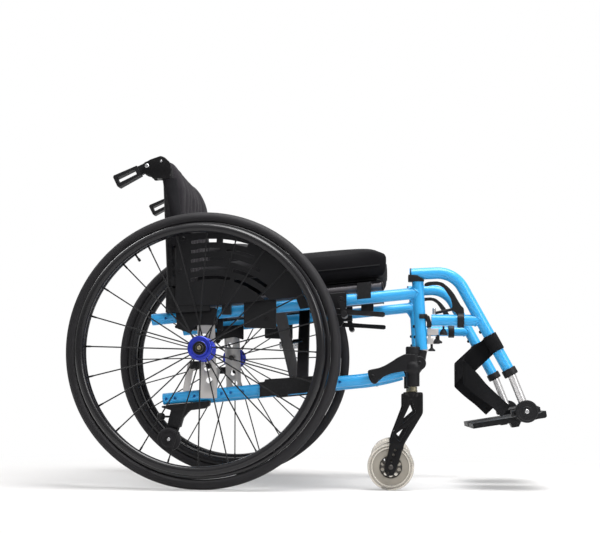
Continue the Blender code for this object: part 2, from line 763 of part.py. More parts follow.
def side_guard(side):
    """Skirt between wheel and seat: round over the wheel, with rows of curved slots."""
    y0 = side * GUARD_Y
    y1 = side * (GUARD_Y + GUARD_T)
    centre = (0.0, AXLE_Z)
    rise = math.acos(GUARD_REAR / GUARD_R)
    low_front = GUARD_R - 0.025
    angle_end = math.atan2(top_z(low_front) + 0.004 - AXLE_Z, low_front)
    outline = arc(centre, GUARD_R, rise, angle_end, 12)
    step = (low_front - 0.042, low_front - 0.052)
    outline += [(low_front, top_z(low_front) - 0.010), (step[0], top_z(step[0]) - 0.012),
                (step[1], top_z(step[1]) + TUBE + 0.002), (0.020, top_z(0.020) + TUBE + 0.002),
                (GUARD_REAR, top_z(GUARD_REAR) + TUBE + 0.012)]
    guard = plate(outline, y0, y1)
    slot_centre = (0.015, AXLE_Z - 0.012457)
    longest = GUARD_R - 0.022
    lowest = top_z(0) + TUBE + 0.066 - slot_centre[1]
    cutters = []
    for row in range(round((longest - lowest) / SLOT_PITCH) + 1):
        radius = longest - SLOT_PITCH * row
        first = math.asin(-0.048 / radius)
        last = math.asin(min(0.075 + 0.014 * row, 0.12) / radius)
        gap = radians(1.6)
        middle = (first + last) / 2
        for a, b in ((first, middle - gap), (middle + gap, last)):
            cutters.append(arc_slot(slot_centre, radius, pi / 2 - a, pi / 2 - b,
                                    y0 - side * EPS, y1 + side * EPS))
    pads = []
    for x in (0.045, GUARD_R - 0.057):
        z = top_z(x)
        pads.append(block((x - 0.010, x + 0.010), (side * (FRAME_OUT + GAP), side * (GUARD_Y + 0.001)),
                          (z - 0.007, z + TUBE + 0.014)))
    cane_pad = block((cane_x(0.43) + 0.003, cane_x(0.43) + 0.024),
                     (side * (FRAME_Y + CANE + GAP), side * (GUARD_Y + 0.001)), (0.4330, 0.4530))
    return combined([combined([guard], cutters)] + pads + [cane_pad])


def cradle(side):
    """Clip on the top tube with the open trough that the seat rail drops into."""
    x = CRADLE_X
    y_out = side * (FRAME_OUT + GAP)
    y_in = side * (PIVOT_Y - RAIL - 0.004)
    half = CRADLE_LEN / 2
    body = plate(along_tube([(x - half, -0.002), (x + half, -0.002), (x + half, RAIL_UP + 0.008),
                             (x - half, RAIL_UP + 0.008)], top_z), y_in, y_out)
    ends = (x - CRADLE_LEN, x + CRADLE_LEN)
    lower = tube([at((e, top_z(e)), side * FRAME_Y) for e in ends], TUBE + GAP)
    trough = tube([at((e, rail_z(e)), side * PIVOT_Y) for e in ends], RAIL + GAP)
    wide = RAIL + GAP
    mouth = plate(along_tube([(ends[0], RAIL_UP), (ends[1], RAIL_UP), (ends[1], RAIL_UP + 0.02),
                              (ends[0], RAIL_UP + 0.02)], top_z),
                  side * (PIVOT_Y - wide), side * (PIVOT_Y + wide))
    return combined([body], [lower, trough, mouth])


def hinge_z(x):
    """Height of the cross brace's lower hinge line at x."""
    return low_z(x) + PIVOT_UP


def brace_bearing(side):
    """Bearing of the cross brace on the lower tube: two ears with stub pins and a side cover."""
    y = side * PIVOT_Y
    out = side * (FRAME_OUT + 0.005)
    first, last = SLEEVE_X
    pieces = [plate(along_tube([(first - 0.030, -0.016), (last + 0.030, -0.016), (last + 0.030, 0.017),
                                (first - 0.018, 0.021)], low_z), side * (FRAME_OUT + GAP), out)]
    side_play = RUN + SLEEVE * sin(TILT)
    for x0, x1, inward in ((first - 0.029, first - side_play, 1), (last + side_play, last + 0.029, -1)):
        pieces.append(plate(along_tube([(x0, -0.015), (x1, -0.015), (x1, 0.016), (x0, 0.016)], low_z),
                            side * (PIVOT_Y - 0.012), out - side * 0.001))
        root = first - 0.010 if inward > 0 else last + 0.010
        tip = first + HINGE_PIN_LEN if inward > 0 else last - HINGE_PIN_LEN
        pieces.append(turned(HINGE_PIN, at((root, hinge_z(root)), y), at((tip, hinge_z(tip)), y), 10))
    ends = (first - 0.06, last + 0.06)
    hollow = tube([at((e, low_z(e)), side * FRAME_Y) for e in ends], TUBE + GAP)
    return combined(pieces, [hollow])


def shoe_place():
    """Brake shoe and its pivot in the side view."""
    pivot_x = BRAKE_X[0] + 0.04632442
    pivot = Vector((pivot_x, top_z(pivot_x) - 0.00081142))
    level = pivot.y - SHOE_DROP
    reach = WHEEL_R + SHOE_GAP + SHOE_R
    return Vector(((reach ** 2 - (level - AXLE_Z) ** 2) ** 0.5, level)), pivot


LEVER_IN = FRAME_OUT + 0.005            # inner face of the brake lever
LEVER_T = 0.009
SHOE_IN = LEVER_IN + LEVER_T + 0.002    # inner face of the shoe's arm
SHOE_ARM_T = 0.005


def brake_mount(side):
    """Clamp on the top tube with the pins of the brake's lever and shoe arm."""
    inner = side * (FRAME_Y - TUBE - 0.004)
    outer = side * (LEVER_IN - RUN)
    x0, x1 = BRAKE_X
    pivot = LEVER_PIVOT
    shoe_pivot = shoe_place()[1]
    body = plate(along_tube([(x0, -0.030), (x0 + 0.030, -0.030), (x0 + 0.036, -0.0175), (x1, -0.0175),
                             (x1, 0.0165), (x0, 0.0165)], top_z), inner, outer)
    ends = (x0 - 0.02, x1 + 0.02)
    hollow = tube([at((e, top_z(e)), side * FRAME_Y) for e in ends], TUBE + GAP)
    pins = [turned(BRAKE_PIN, at(pivot, outer - side * 0.002), at(pivot, side * (LEVER_IN + LEVER_T)), 10),
            turned(BRAKE_PIN, at(shoe_pivot, outer - side * 0.002),
                   at(shoe_pivot, side * (SHOE_IN + SHOE_ARM_T)), 10)]
    return combined([body] + pins, [hollow])


def brake_lever(side):
    """Flat hand lever that runs forward under the top tube."""
    y0 = side * LEVER_IN
    y1 = side * (LEVER_IN + LEVER_T)
    middle = side * (LEVER_IN + LEVER_T / 2)
    eye = turned(0.0085, at(LEVER_PIVOT, y0), at(LEVER_PIVOT, y1), 14)
    points = [LEVER_PIVOT, LEVER_PIVOT.lerp(LEVER_TIP, 0.30), LEVER_PIVOT.lerp(LEVER_TIP, 0.62),
              LEVER_PIVOT.lerp(LEVER_TIP, 0.97), LEVER_TIP]
    bar = strip([at(p, middle) for p in points], [0.012, 0.011, 0.010, 0.011, 0.006], LEVER_T,
                Vector((0, 1, 0)))
    bore = turned(BRAKE_PIN + GAP, at(LEVER_PIVOT, y0 - side * EPS), at(LEVER_PIVOT, y1 + side * EPS), 10)
    return combined([eye, bar], [bore])


def brake_shoe(side):
    """Short arm with the round shoe that presses on the tyre."""
    shoe, pivot = shoe_place()
    y0 = side * SHOE_IN
    y1 = side * (SHOE_IN + SHOE_ARM_T)
    eye = turned(0.0075, at(pivot, y0), at(pivot, y1), 14)
    arm = strip([at(pivot, (y0 + y1) / 2), at(shoe, (y0 + y1) / 2)], 0.012, SHOE_ARM_T, Vector((0, 1, 0)))
    shoe_end = side * (WHEEL_Y + TYRE_R + 0.004)
    bar = turned(SHOE_R, at(shoe, y0), at(shoe, shoe_end), 14)
    bore = turned(BRAKE_PIN + GAP, at(pivot, y0 - side * EPS), at(pivot, y1 + side * EPS), 10)
    return combined([eye, arm, bar], [bore])


def brake(side, root):
    """Brake on one side: fixed clamp, hand lever and shoe."""
    name = side_name(side)
    shoe_pivot = shoe_place()[1]
    piece("brake_mount_" + name, brake_mount(side), "black_cast", root)
    lever_axis = joint("brake_lever_axis_" + name, at(LEVER_PIVOT, side * LEVER_IN), root)
    piece("brake_lever_" + name, brake_lever(side), "black_cast", lever_axis)
    shoe_axis = joint("brake_shoe_axis_" + name, at(shoe_pivot, side * SHOE_IN), root)
    piece("brake_shoe_" + name, brake_shoe(side), "black_cast", shoe_axis)


# Casters
def fork_outline():
    """Side plate of the caster fork, cranked back from the stem to the axle."""
    axle_x = CASTER_X - TRAIL
    return [(CASTER_X - 0.021, FORK_TOP), (CASTER_X + 0.021, FORK_TOP), (CASTER_X + 0.021, 0.1630),
            (CASTER_X - 0.018, 0.0990), (axle_x + 0.0115, CASTER_Z - 0.004), (axle_x + 0.005, CASTER_Z - 0.018),
            (axle_x - 0.009, CASTER_Z - 0.018), (axle_x - 0.014, CASTER_Z - 0.006),
            (CASTER_X - 0.047, 0.1070), (CASTER_X - 0.021, 0.1750)]


def caster_fork(side):
    """Stem, bridge, two lightened plates and the axle bolt."""
    y = side * CASTER_Y
    axle_x = CASTER_X - TRAIL
    windows = [[(CASTER_X - 0.0025, 0.1815), (CASTER_X + 0.0040, 0.1640), (CASTER_X - 0.0220, 0.1400)],
               [(CASTER_X - 0.0100, 0.1330), (CASTER_X - 0.0310, 0.1160), (CASTER_X - 0.0240, 0.1090)]]
    pieces = []
    for sign in (-1, 1):
        face = y + sign * (FORK_HALF - FORK_PLATE)
        pieces.append(plate(fork_outline(), face, y + sign * FORK_HALF))
    pieces.append(block((CASTER_X - 0.0205, CASTER_X + 0.0205), (y - FORK_HALF + 0.001, y + FORK_HALF - 0.001),
                        (FORK_TOP - 0.006, FORK_TOP - 0.0005)))
    cutters = [plate(window, y - FORK_HALF - EPS, y + FORK_HALF + EPS) for window in windows]
    for step in (-2, -1, 1):
        hole = Vector((axle_x - 0.0035 * step, CASTER_Z - 0.0125 * step))
        cutters.append(turned(0.0022, at(hole, y - FORK_HALF - EPS), at(hole, y + FORK_HALF + EPS), 6))
    fork = combined(pieces, cutters)
    stem = lathe(((0, FORK_TOP - 0.003), (COLLAR_R, FORK_TOP - 0.003), (COLLAR_R, SLEEVE_Z[0] - GAP),
                  (STEM_R, SLEEVE_Z[0] - GAP), (STEM_R, SLEEVE_Z[1] - 0.012), (0, SLEEVE_Z[1] - 0.012)),
                 10, Matrix.Translation((CASTER_X, y, 0)))
    bolt = turned(CASTER_AXLE_R, Vector((axle_x, y - FORK_HALF - 0.002, CASTER_Z)),
                  Vector((axle_x, y + FORK_HALF + 0.002, CASTER_Z)), 10)
    return combined([fork, stem, bolt])


def caster_wheel(side):
    """Roller wheel: moulded tyre on a hub, flat where it meets the floor."""
    place = Vector((CASTER_X - TRAIL, side * CASTER_Y, CASTER_Z))
    w = CASTER_HALF
    bore = CASTER_AXLE_R + RUN
    profile = ((bore, -w - 0.001), (0.0125, -w - 0.001), (0.0260, -w + 0.004), (0.0290, -w),
               (CASTER_R - 0.006, -w), (CASTER_R, -w * 0.35), (CASTER_R, w * 0.35), (CASTER_R - 0.006, w),
               (0.0290, w), (0.0260, w - 0.004), (0.0125, w + 0.001), (bore, w + 0.001))
    return flattened(turned_ring(profile, place, Vector((0, 1, 0)), 24), 0.0)


def caster(side, root):
    """Swivel fork and its wheel."""
    name = side_name(side)
    swivel = joint("caster_swivel_axis_" + name, (CASTER_X, side * CASTER_Y, FORK_TOP), root)
    piece("caster_fork_" + name, caster_fork(side), "black_cast", swivel)
    spin = joint("caster_wheel_axis_" + name, (CASTER_X - TRAIL, side * CASTER_Y, CASTER_Z), swivel)
    piece("caster_wheel_" + name, caster_wheel(side), "clear_grip", spin)


# Hangers and footrests
def hanger_path():
    """Centre line of the hanger's main tube: level, bent, then down to the footrest."""
    rise = Vector((cos(HANG_RISE), sin(HANG_RISE)))
    turn = HANG_RISE + HANG_DROP
    offset = HANG_END - HANG_REAR
    corner = HANG_REAR + rise * (offset.cross(DROP) / rise.cross(DROP))
    reach = HANG_BEND_R * tan(turn / 2)
    start = corner - rise * reach
    points = [HANG_REAR, start]
    steps = 8
    for i in range(1, steps + 1):
        heading = HANG_RISE - turn * (i - 0.5) / steps
        step = 2 * HANG_BEND_R * sin(turn / (2 * steps))
        points.append(points[-1] + Vector((cos(heading), sin(heading))) * step)
    points.append(HANG_END)
    return points


def slant_x(z):
    """The hanger's slanting tube at height z."""
    return HANG_END.x - (z - HANG_END.y) / tan(HANG_DROP)


def swing_socket(side):
    """Saddle under the hanger's rear end and the pin that drops into the post."""
    y = side * FRAME_Y
    up = (POST_TOP - Vector((post_x(POST_FOOT_Z), POST_FOOT_Z))).normalized()
    base = POST_TOP + up * GAP
    return [turned(TUBE + 0.0012, at(base, y), at(base + up * 0.012, y), 14),
            turned(PIN_R, at(base - up * (PIN_LEN - 0.001), y), at(base + up * 0.004, y), 10)]


def footrest_collar(side):
    """Clamp collar on the hanger's lower end."""
    profile = ((0, -0.015), (COLLAR, -0.015), (COLLAR, 0.012), (0, 0.012))
    return turned_ring(profile, at(HANG_END, side * FRAME_Y), at(DROP, 0), 14)


def hanger_tube(side):
    """Bent main tube with its saddle, pin and clamp collar and the level bar, bored for the extension."""
    y = side * FRAME_Y
    main = tube([at(p, y) for p in hanger_path()], HANG, 12)
    bar = tube([at((BAR_X, BAR_Z), y), at((slant_x(BAR_Z), BAR_Z), y)], BAR, 12)
    end = HANG_END + DROP * 0.02
    bore = turned(EXT_R + EXT_GAP, at(HANG_END - DROP * (EXT_IN + 0.004), y), at(end, y), 12)
    return combined([main, bar] + swing_socket(side) + [footrest_collar(side)], [bore])


def hanger_latch(side):
    """Half ring round the front of the post, with the latch housing under the level bar."""
    y = side * FRAME_Y
    low = Vector((post_x(BAR_Z - 0.0105), BAR_Z - 0.0105))
    high = Vector((post_x(BAR_Z + 0.0105), BAR_Z + 0.0105))
    ring = turned(TUBE + RUN + 0.0045, at(low, y), at(high, y), 18)
    stub = turned(HANG * 0.92, at((post_x(BAR_Z) + TUBE, BAR_Z), y), at((BAR_X - GAP, BAR_Z), y), 12)
    bore = turned(TUBE + RUN, at(low.lerp(high, -0.5), y), at(low.lerp(high, 1.5), y), 16)
    middle = post_x(BAR_Z)
    back = block((middle - 0.04, middle - 0.002), (y - 0.03, y + 0.03), (BAR_Z - 0.03, BAR_Z + 0.03))
    top = BAR_Z - BAR - GAP
    housing = plate([(0.4790, BAR_Z - 0.004), (0.4790, top - 0.0190), (0.5060, top - 0.0190),
                     (0.5060, top - 0.0060), (0.5190, top - 0.0060), (0.5190, top),
                     (BAR_X - GAP, top), (BAR_X - GAP, BAR_Z - 0.004)], y - 0.008, y + 0.008)
    knob = lathe(((0, top - 0.0200), (0.0085, top - 0.0200), (0.0070, top - 0.0150), (0.0030, top - 0.0120),
                  (0.0030, top - 0.001), (0, top - 0.001)), 10, Matrix.Translation((0.5155, y, 0)))
    return combined([ring, stub, housing, knob], [bore, back])


def lever_path():
    """Centre line of the release lever, from its sleeve up under the bend."""
    return [Vector(p) for p in ((0.5492, BAR_Z + HANG), (0.5478, 0.3960), (0.5385, 0.4165), (0.5235, 0.4340),
                                (0.5060, 0.4425), (0.4900, 0.4438), (0.4745, 0.4405))]


def release_lever(side):
    """Sleeve round the level bar with the curved lever, the latch rod and its pin."""
    y = side * FRAME_Y
    inner = BAR + RUN
    outer = inner + 0.0035
    ring = turned_ring(((inner, 0), (outer, 0), (outer, 0.0145), (inner, 0.0145)),
                       Vector((0.5417, y, BAR_Z)), Vector((1, 0, 0)), 16)
    path = [at(p, y) for p in lever_path()]
    path[0].z = BAR_Z + inner + 0.0006
    blade = strip(path, [0.011, 0.009, 0.009, 0.0085, 0.007, 0.006, 0.005], 0.010, Vector((0, 1, 0)))
    rod = turned(0.0022, Vector((0.4924, y, 0.3862)), Vector((0.5490, y, 0.3912)), 6)
    pin = turned(0.0030, Vector((0.4924, y, BAR_Z + inner)), Vector((0.4924, y, 0.3900)), 8)
    return combined([ring, blade, rod, pin])


def extension_path():
    """The silver tube: straight inside the hanger, then bent towards the footplate."""
    start = HANG_END - DROP * EXT_IN
    elbow = HANG_END + DROP * 0.0165
    mid = elbow + (DROP + (HUB_C - elbow).normalized()).normalized() * 0.010
    return [start, elbow, mid, HUB_C + (HUB_C - mid).normalized() * 0.0035]


def footrest_tube(side):
    """Extension tube with the footplate's clamp disc and hinge lugs."""
    y = side * FRAME_Y
    path = [at(p, y) for p in extension_path()]
    bar = tube(path, EXT_R, 12)
    disc = turned(HUB_DISC_R, at(HUB_C, side * (FRAME_Y - 0.004)), at(HUB_C, side * (FRAME_Y + 0.013)), 18)
    barrel = turned(0.0150, at(HUB_C, side * FRAME_Y), at(HUB_C, side * (HINGE_Y + 0.012)), 12)
    return combined([bar, disc, barrel] + hinge_yoke(side))


def hinge_yoke(side):
    """Fork on the hub's inner end, with the pin that the footplate turns on."""
    wide, narrow = YOKE
    back, web = side * (FRAME_Y - 0.0030), side * (FRAME_Y - 0.0100)
    end = side * (HINGE_Y - 0.001)
    fork = slab([(-wide, back), (wide, back), (wide, end), (narrow, end), (narrow, web), (-narrow, web),
                 (-narrow, end), (-wide, end)], -0.0055, 0.0055)
    y = side * HINGE_Y
    eyes = [turned(KNUCKLE, Vector((u - 0.0035, y, 0)), Vector((u + 0.0035, y, 0)), 10)
            for u in (-(wide + narrow) / 2, (wide + narrow) / 2)]
    pin = turned(HINGE_PIN, Vector((-narrow - 0.002, y, 0)), Vector((narrow + 0.002, y, 0)), 10)
    return [shifted(part, pitched()) for part in [fork] + eyes + [pin]]


def pitched():
    """From the footplate's level axes to its place."""
    return Matrix.Translation(at(HUB_C, 0)) @ Matrix.Rotation(-PLATE_PITCH, 4, 'Y')


def footplate(side):
    """Footplate on a knuckle; its level shape is pitched up to the front."""
    hub_y = side * HINGE_Y
    inner, outer = side * FOOT_Y[0], side * FOOT_Y[1]
    top = -FOOT_DROP + FOOT_T / 2
    low = -FOOT_DROP - FOOT_T / 2
    deck = plate([(-FOOT_BACK, low + 0.001), (FOOT_FRONT - 0.004, low), (FOOT_FRONT, low + FOOT_LIP),
                  (FOOT_FRONT, top + FOOT_LIP), (FOOT_FRONT - 0.006, top + FOOT_LIP), (FOOT_FRONT - 0.012, top),
                  (-FOOT_BACK, top)], inner, outer)
    half = YOKE[1] - RUN - 0.0005
    knuckle = turned(KNUCKLE, Vector((-half, hub_y, 0)), Vector((half, hub_y, 0)), 10)
    web = block((-half, half), (side * (FOOT_Y[1] - 0.020), side * (HINGE_Y + 0.004)), (low, low + 0.012))
    riser = block((-half, half), (side * (HINGE_Y - 0.0045), side * (HINGE_Y + 0.004)), (low, 0.0))
    lug = plate([(-0.030, low - 0.010), (-0.016, low - 0.010), (-0.008, low + 0.002), (-0.034, low + 0.002)],
                side * (FOOT_Y[1] - 0.05), side * (FOOT_Y[1] - 0.01))
    bore = turned(HINGE_PIN + GAP, Vector((-0.05, hub_y, 0)), Vector((0.05, hub_y, 0)), 10)
    return shifted(combined([deck, web, riser, knuckle, lug], [bore]), pitched())


def strap_path(side):
    """Heel strap: from the slanting tube back round the heel and down to the footplate."""
    wrap = Vector((slant_x(0.3139), 0.3139))
    points = [(wrap.x - 0.004, -0.1920, wrap.y - 0.002), (0.6010, -0.1905, 0.2990), (0.5820, -0.1850, 0.2810),
              (0.5690, -0.1790, 0.2640), (0.5640, -0.1750, 0.2460), (0.5700, -0.1755, 0.2290),
              (0.5860, -0.1790, 0.2150), (0.6080, -0.1840, 0.2010), (0.6330, -0.1885, 0.1860),
              (0.6560, -0.1900, 0.1730)]
    return [Vector((x, -side * y, z)) for x, y, z in points]


def heel_strap(side):
    """Webbing loop, with its sleeve round the hanger tube."""
    y = side * FRAME_Y
    z = 0.3139
    centre = Vector((slant_x(z), z))
    inner = HANG + GAP
    sleeve = tube([at(centre - DROP * (STRAP_W / 2), y), at(centre + DROP * (STRAP_W / 2), y)],
                  inner + 0.0024)
    band = strip(strap_path(side), STRAP_W, STRAP_T, Vector((0, 1, 0)))
    hollow = tube([at(centre - DROP * 0.05, y), at(centre + DROP * 0.05, y)], inner)
    return combined([sleeve, band], [hollow])


def hanger(side, root):
    """Swing-away hanger with its release lever, footrest and strap."""
    name = side_name(side)
    swing = joint("hanger_swing_axis_" + name, at(POST_TOP, side * FRAME_Y), root)
    piece("hanger_tube_" + name, hanger_tube(side), "blue_paint", swing)
    piece("hanger_latch_" + name, hanger_latch(side), "black_plastic", swing)
    piece("heel_strap_" + name, heel_strap(side), "webbing", swing)
    lever = joint("release_lever_axis_" + name, (0.5490, side * FRAME_Y, BAR_Z), swing)
    piece("release_lever_" + name, release_lever(side), "black_plastic", lever)
    slide = joint("footrest_slide_" + name, at(HANG_END, side * FRAME_Y), swing)
    piece("footrest_tube_" + name, footrest_tube(side), "silver_tube", slide)
    flip = joint("footplate_axis_" + name, at(HUB_C, side * HINGE_Y), slide)
    piece("footplate_" + name, footplate(side), "black_plastic", flip)


# Cross brace
def cross_arm(kind):
    """One brace arm: sleeve on its lower hinge, flat arm, seat rail on top.

    Arm a stands on the right hinge and carries the left rail; arm b is the other one.
    """
    foot = -1 if kind == "a" else 1
    x = ARM_X[kind]
    up = Vector((-sin(TILT), 0, cos(TILT)))
    low = Vector((x, foot * PIVOT_Y, hinge_z(x)))
    rise = (TOP_Z + RAIL_UP - LOW_Z - PIVOT_UP) * cos(TILT)
    high = low + Vector((0, -2 * foot * PIVOT_Y, 0)) + up * rise
    arm = strip([low, high], ARM_W, ARM_T, (high - low).cross(T_DIR))
    first, last = SLEEVE_X
    sleeve = tube([at((e, hinge_z(e)), foot * PIVOT_Y) for e in (first, last)], SLEEVE, 14)
    rail = tube([at((e, rail_z(e)), -foot * PIVOT_Y) for e in RAIL_X], RAIL, 12)
    bores = []
    for end, inside in ((first, first + HINGE_PIN_LEN + 0.001), (last, last - HINGE_PIN_LEN - 0.001)):
        start = end + (end - inside) * 0.2
        bores.append(turned(HINGE_PIN + GAP, at((start, hinge_z(start)), foot * PIVOT_Y),
                            at((inside, hinge_z(inside)), foot * PIVOT_Y), 10))
    middle = (low + high) / 2
    other = ARM_X["b" if kind == "a" else "a"]
    far = middle + T_DIR * ((other - x) / cos(TILT))
    aside = (far - middle).normalized()
    if kind == "a":
        pin_end = far + aside * (ARM_W / 2 + 0.006)
        pieces = [arm, sleeve, rail, turned(BOLT_R, middle, pin_end, 12),
                  turned(0.011, middle, far - aside * (ARM_W / 2 + GAP), 16)]
        return combined(pieces, bores)
    hole = turned(BOLT_R + GAP, middle - aside * 0.03, middle + aside * 0.03, 12)
    return combined([arm, sleeve, rail], bores + [hole])


def cross_brace(root):
    """Both arms; each empty lies on the axis that its arm turns on."""
    x = ARM_X["a"]
    hinge = joint("fold_axis", (x, -PIVOT_Y, hinge_z(x)), root)
    piece("cross_arm_a", cross_arm("a"), "brace_grey", hinge)
    middle = Vector((x, 0, hinge_z(x))) + Vector((-sin(TILT), 0, cos(TILT))) * (
        (TOP_Z + RAIL_UP - LOW_Z - PIVOT_UP) * cos(TILT) / 2)
    centre = joint("brace_centre_axis", middle, hinge)
    piece("cross_arm_b", cross_arm("b"), "brace_grey", centre)
    x = ARM_X["b"]
    return joint("left_frame_axis", (x, PIVOT_Y, hinge_z(x)), centre)


# Seat and back
def sling_sag(y):
    """How far the sling hangs at y below its height over the rails."""
    return SLING_SAG * max(0.0, 1 - (y / (PIVOT_Y - RAIL)) ** 2)


def cushion():
    """Seat cushion: crowned top, sides drawn in between the corners, round front edge."""
    nx, ny, nz = 12, 12, 3
    bm = bmesh.new()
    bmesh.ops.create_grid(bm, x_segments=nx, y_segments=ny, size=1.0)
    grown = bmesh.ops.extrude_face_region(bm, geom=bm.faces[:])["geom"]
    bmesh.ops.translate(bm, verts=[g for g in grown if isinstance(g, bmesh.types.BMVert)], vec=(0, 0, 1))
    side_edges = [e for e in bm.edges if abs(e.verts[0].co.z - e.verts[1].co.z) > 0.5]
    bmesh.ops.subdivide_edges(bm, edges=side_edges, cuts=nz - 1)
    for vert in bm.verts:
        u, v, w = vert.co
        edge_u = 1 - abs(u) ** 6
        edge_v = 1 - abs(v) ** 6
        height = w * SEAT_T + w * SEAT_CROWN * (1 - u * u) * (1 - v * v)
        rounding = 0.012 * (1 - edge_u * edge_v) * (2 * w - 1)
        height -= rounding
        belly = 4 * w * (1 - w)
        pull_x = SEAT_DRAW * (1 - v * v) * (1 - belly)
        pull_y = SEAT_DRAW * (1 - u * u) * (1 - belly)
        shrink = 0.008 * (2 * w - 1) ** 2
        half_x = (SEAT_X[1] - SEAT_X[0]) / 2 - shrink
        half_y = SEAT_HALF - shrink
        x = u * (half_x - pull_x * abs(u))
        y = v * (half_y - pull_y * abs(v))
        if u > 0.6 and w > 0.5:
            height -= 0.020 * ((u - 0.6) / 0.4) ** 3 * (2 * w - 1)
        middle = (SEAT_X[0] + SEAT_X[1]) / 2
        base = RAIL_UP + RAIL + SLING_T + 0.0008 - (1 - w) * sling_sag(y)
        vert.co = Vector((middle, 0, TOP_Z + middle * tan(TILT))) + T_DIR * x + Vector((0, y, 0)) \
            + Vector((-sin(TILT), 0, cos(TILT))) * (base + height)
    return cleaned(bm)


def seat_sling():
    """Sling over both seat rails, sagging a little between them."""
    flat = (PIVOT_Y - RAIL) / (PIVOT_Y + RAIL)
    points = []
    for v in (-1, -flat, -0.62, -0.30, 0.0, 0.30, 0.62, flat, 1):
        y = v * (PIVOT_Y + RAIL)
        points.append((y, RAIL + GAP + SLING_T / 2 - sling_sag(y)))
    x0, x1 = RAIL_X[0] + 0.004, RAIL_X[1] - 0.004
    up = Vector((-sin(TILT), 0, cos(TILT)))
    middle = (x0 + x1) / 2
    path = [Vector((middle, y, rail_z(middle))) + up * z for y, z in points]
    return strip(path, (x1 - x0) / cos(TILT), SLING_T, up)


def cane_sleeve(side):
    """Hem of the back panel that runs round one cane."""
    low, high = SLEEVE_BACK_Z
    half = SLEEVE_BACK_W / 2
    outline = [(cane_x(low) - half, low), (cane_x(low) + half, low), (cane_x(high) + half, high),
               (cane_x(high) - half, high)]
    return plate(outline, side * (BACK_HALF - 0.004), side * (FRAME_Y + CANE + SLEEVE_BACK_T))


def back_panel():
    """Padded back panel between the canes, hollow to the rear, with upright channels."""
    low, high = BACK_Z
    half = BACK_HALF
    count = 18
    front, rear = [], []
    for i in range(count + 1):
        v = -1 + 2 * i / count
        sag = -BACK_SAG * (1 - v ** 4)
        swell = 0.0030 * abs(sin(3 * pi * v)) * (1 - v ** 8)
        taper = 1 - 0.55 * v ** 6
        front.append((v * half, sag + BACK_T / 2 * taper + swell))
        rear.append((v * half, sag - BACK_T / 2 * taper))
    bm = bmesh.new()
    outline = front + rear[::-1]
    face = bm.faces.new([bm.verts.new((x, y, 0)) for y, x in outline])
    levels = (0.0, 0.04, 0.35, 0.70, 0.96, 1.0)
    tuck = (0.75, 1.0, 1.12, 1.05, 0.95, 0.70)
    for vert in face.verts:
        vert.co.x *= tuck[0]
    rings = [list(face.verts)]
    for level, scale in zip(levels[1:], tuck[1:]):
        grown = bmesh.ops.extrude_discrete_faces(bm, faces=[face])["faces"][0]
        for vert, (y, x) in zip(grown.verts, outline):
            vert.co = Vector((x * scale, y, level))
        face = grown
        rings.append(list(grown.verts))
    bmesh.ops.holes_fill(bm, edges=[edge for edge in bm.edges if edge.is_boundary])
    for vert in bm.verts:
        z = low + vert.co.z * (high - low)
        dip = 0.012 * (1 - (vert.co.y / half) ** 2) * max(0.0, (vert.co.z - 0.7) / 0.3)
        vert.co = Vector((cane_x(z) + vert.co.x, vert.co.y, z - dip))
    return cleaned(bm)


def back_sling():
    """The back panel with its two hems, each bored for its cane."""
    canes = [tube([at((cane_x(z), z), side * FRAME_Y) for z in (0.45, CANE_TOP)], CANE + GAP)
             for side in (-1, 1)]
    return combined([back_panel(), cane_sleeve(-1), cane_sleeve(1)], canes)


# Anti-tip wheel
def anti_tip_leg():
    """Plate under the lower tube with a foot pedal, and the leg of the little wheel."""
    side = -1
    y = side * FRAME_Y
    half = 0.011
    x0, x1 = TIP_X
    top = along_tube([(x0, -TUBE - 0.0090), (x0 + 0.030, -TUBE - 0.0006), (x1, -TUBE - 0.0006),
                      (x1, -TUBE - TIP_PLATE), (x1 - 0.030, -TUBE - TIP_PLATE - 0.004),
                      (x0 + 0.036, -TUBE - TIP_PLATE - 0.004), (x0 + 0.004, -TUBE - 0.0125)], low_z)
    under = low_z(-0.06) - TUBE - TIP_PLATE
    leg = [(TIP_WHEEL.x - 0.008, under + 0.002), (-0.0230, under + 0.004), (-0.0350, under - 0.008),
           (-0.0440, under - 0.040), (TIP_WHEEL.x - 0.0080, under - 0.040), (TIP_WHEEL.x - 0.006, under - 0.020)]
    tongue = [(TIP_WHEEL.x - 0.006, under - 0.030), (TIP_WHEEL.x + 0.016, under - 0.030),
              (TIP_WHEEL.x + 0.009, TIP_WHEEL.y - 0.004), (TIP_WHEEL.x - 0.008, TIP_WHEEL.y - 0.004)]
    inner = y - side * 0.004
    pieces = [plate(top, y - half, y + half), plate(leg, y - half + 0.001, y + half - 0.001),
              plate(tongue, inner + 0.004, inner - 0.001),
              turned(TIP_AXLE_R, at(TIP_WHEEL, inner), at(TIP_WHEEL, y + side * 0.0250), 10)]
    stem = tip_knob_axis()
    hole = turned(TIP_STEM_R + GAP, stem[0], stem[1], 8)
    return combined(pieces, [hole])


def tip_knob_axis():
    """Inner and outer end of the bore for the leg's spring plunger."""
    z = low_z(-0.06) - TUBE - TIP_PLATE - 0.0225
    return Vector((-0.0620, -FRAME_Y, z)), Vector((TIP_WHEEL.x - 0.012, -FRAME_Y, z))


def anti_tip_knob():
    """Spring plunger that is pulled to reset the leg."""
    inner, outer = tip_knob_axis()
    out = (outer - inner).normalized()
    leg_face = TIP_WHEEL.x - 0.0072
    stem = turned(TIP_STEM_R, inner + out * 0.0015, Vector((leg_face - 0.012, outer.y, outer.z)), 8)
    knob_start = Vector((leg_face - 0.0065, outer.y, outer.z))
    profile = ((0, 0), (0.0045, 0), (TIP_KNOB_R, 0.004), (TIP_KNOB_R, 0.014), (0.0060, 0.0165), (0, 0.0165))
    return combined([turned_ring(profile, knob_start, out, 12), stem])


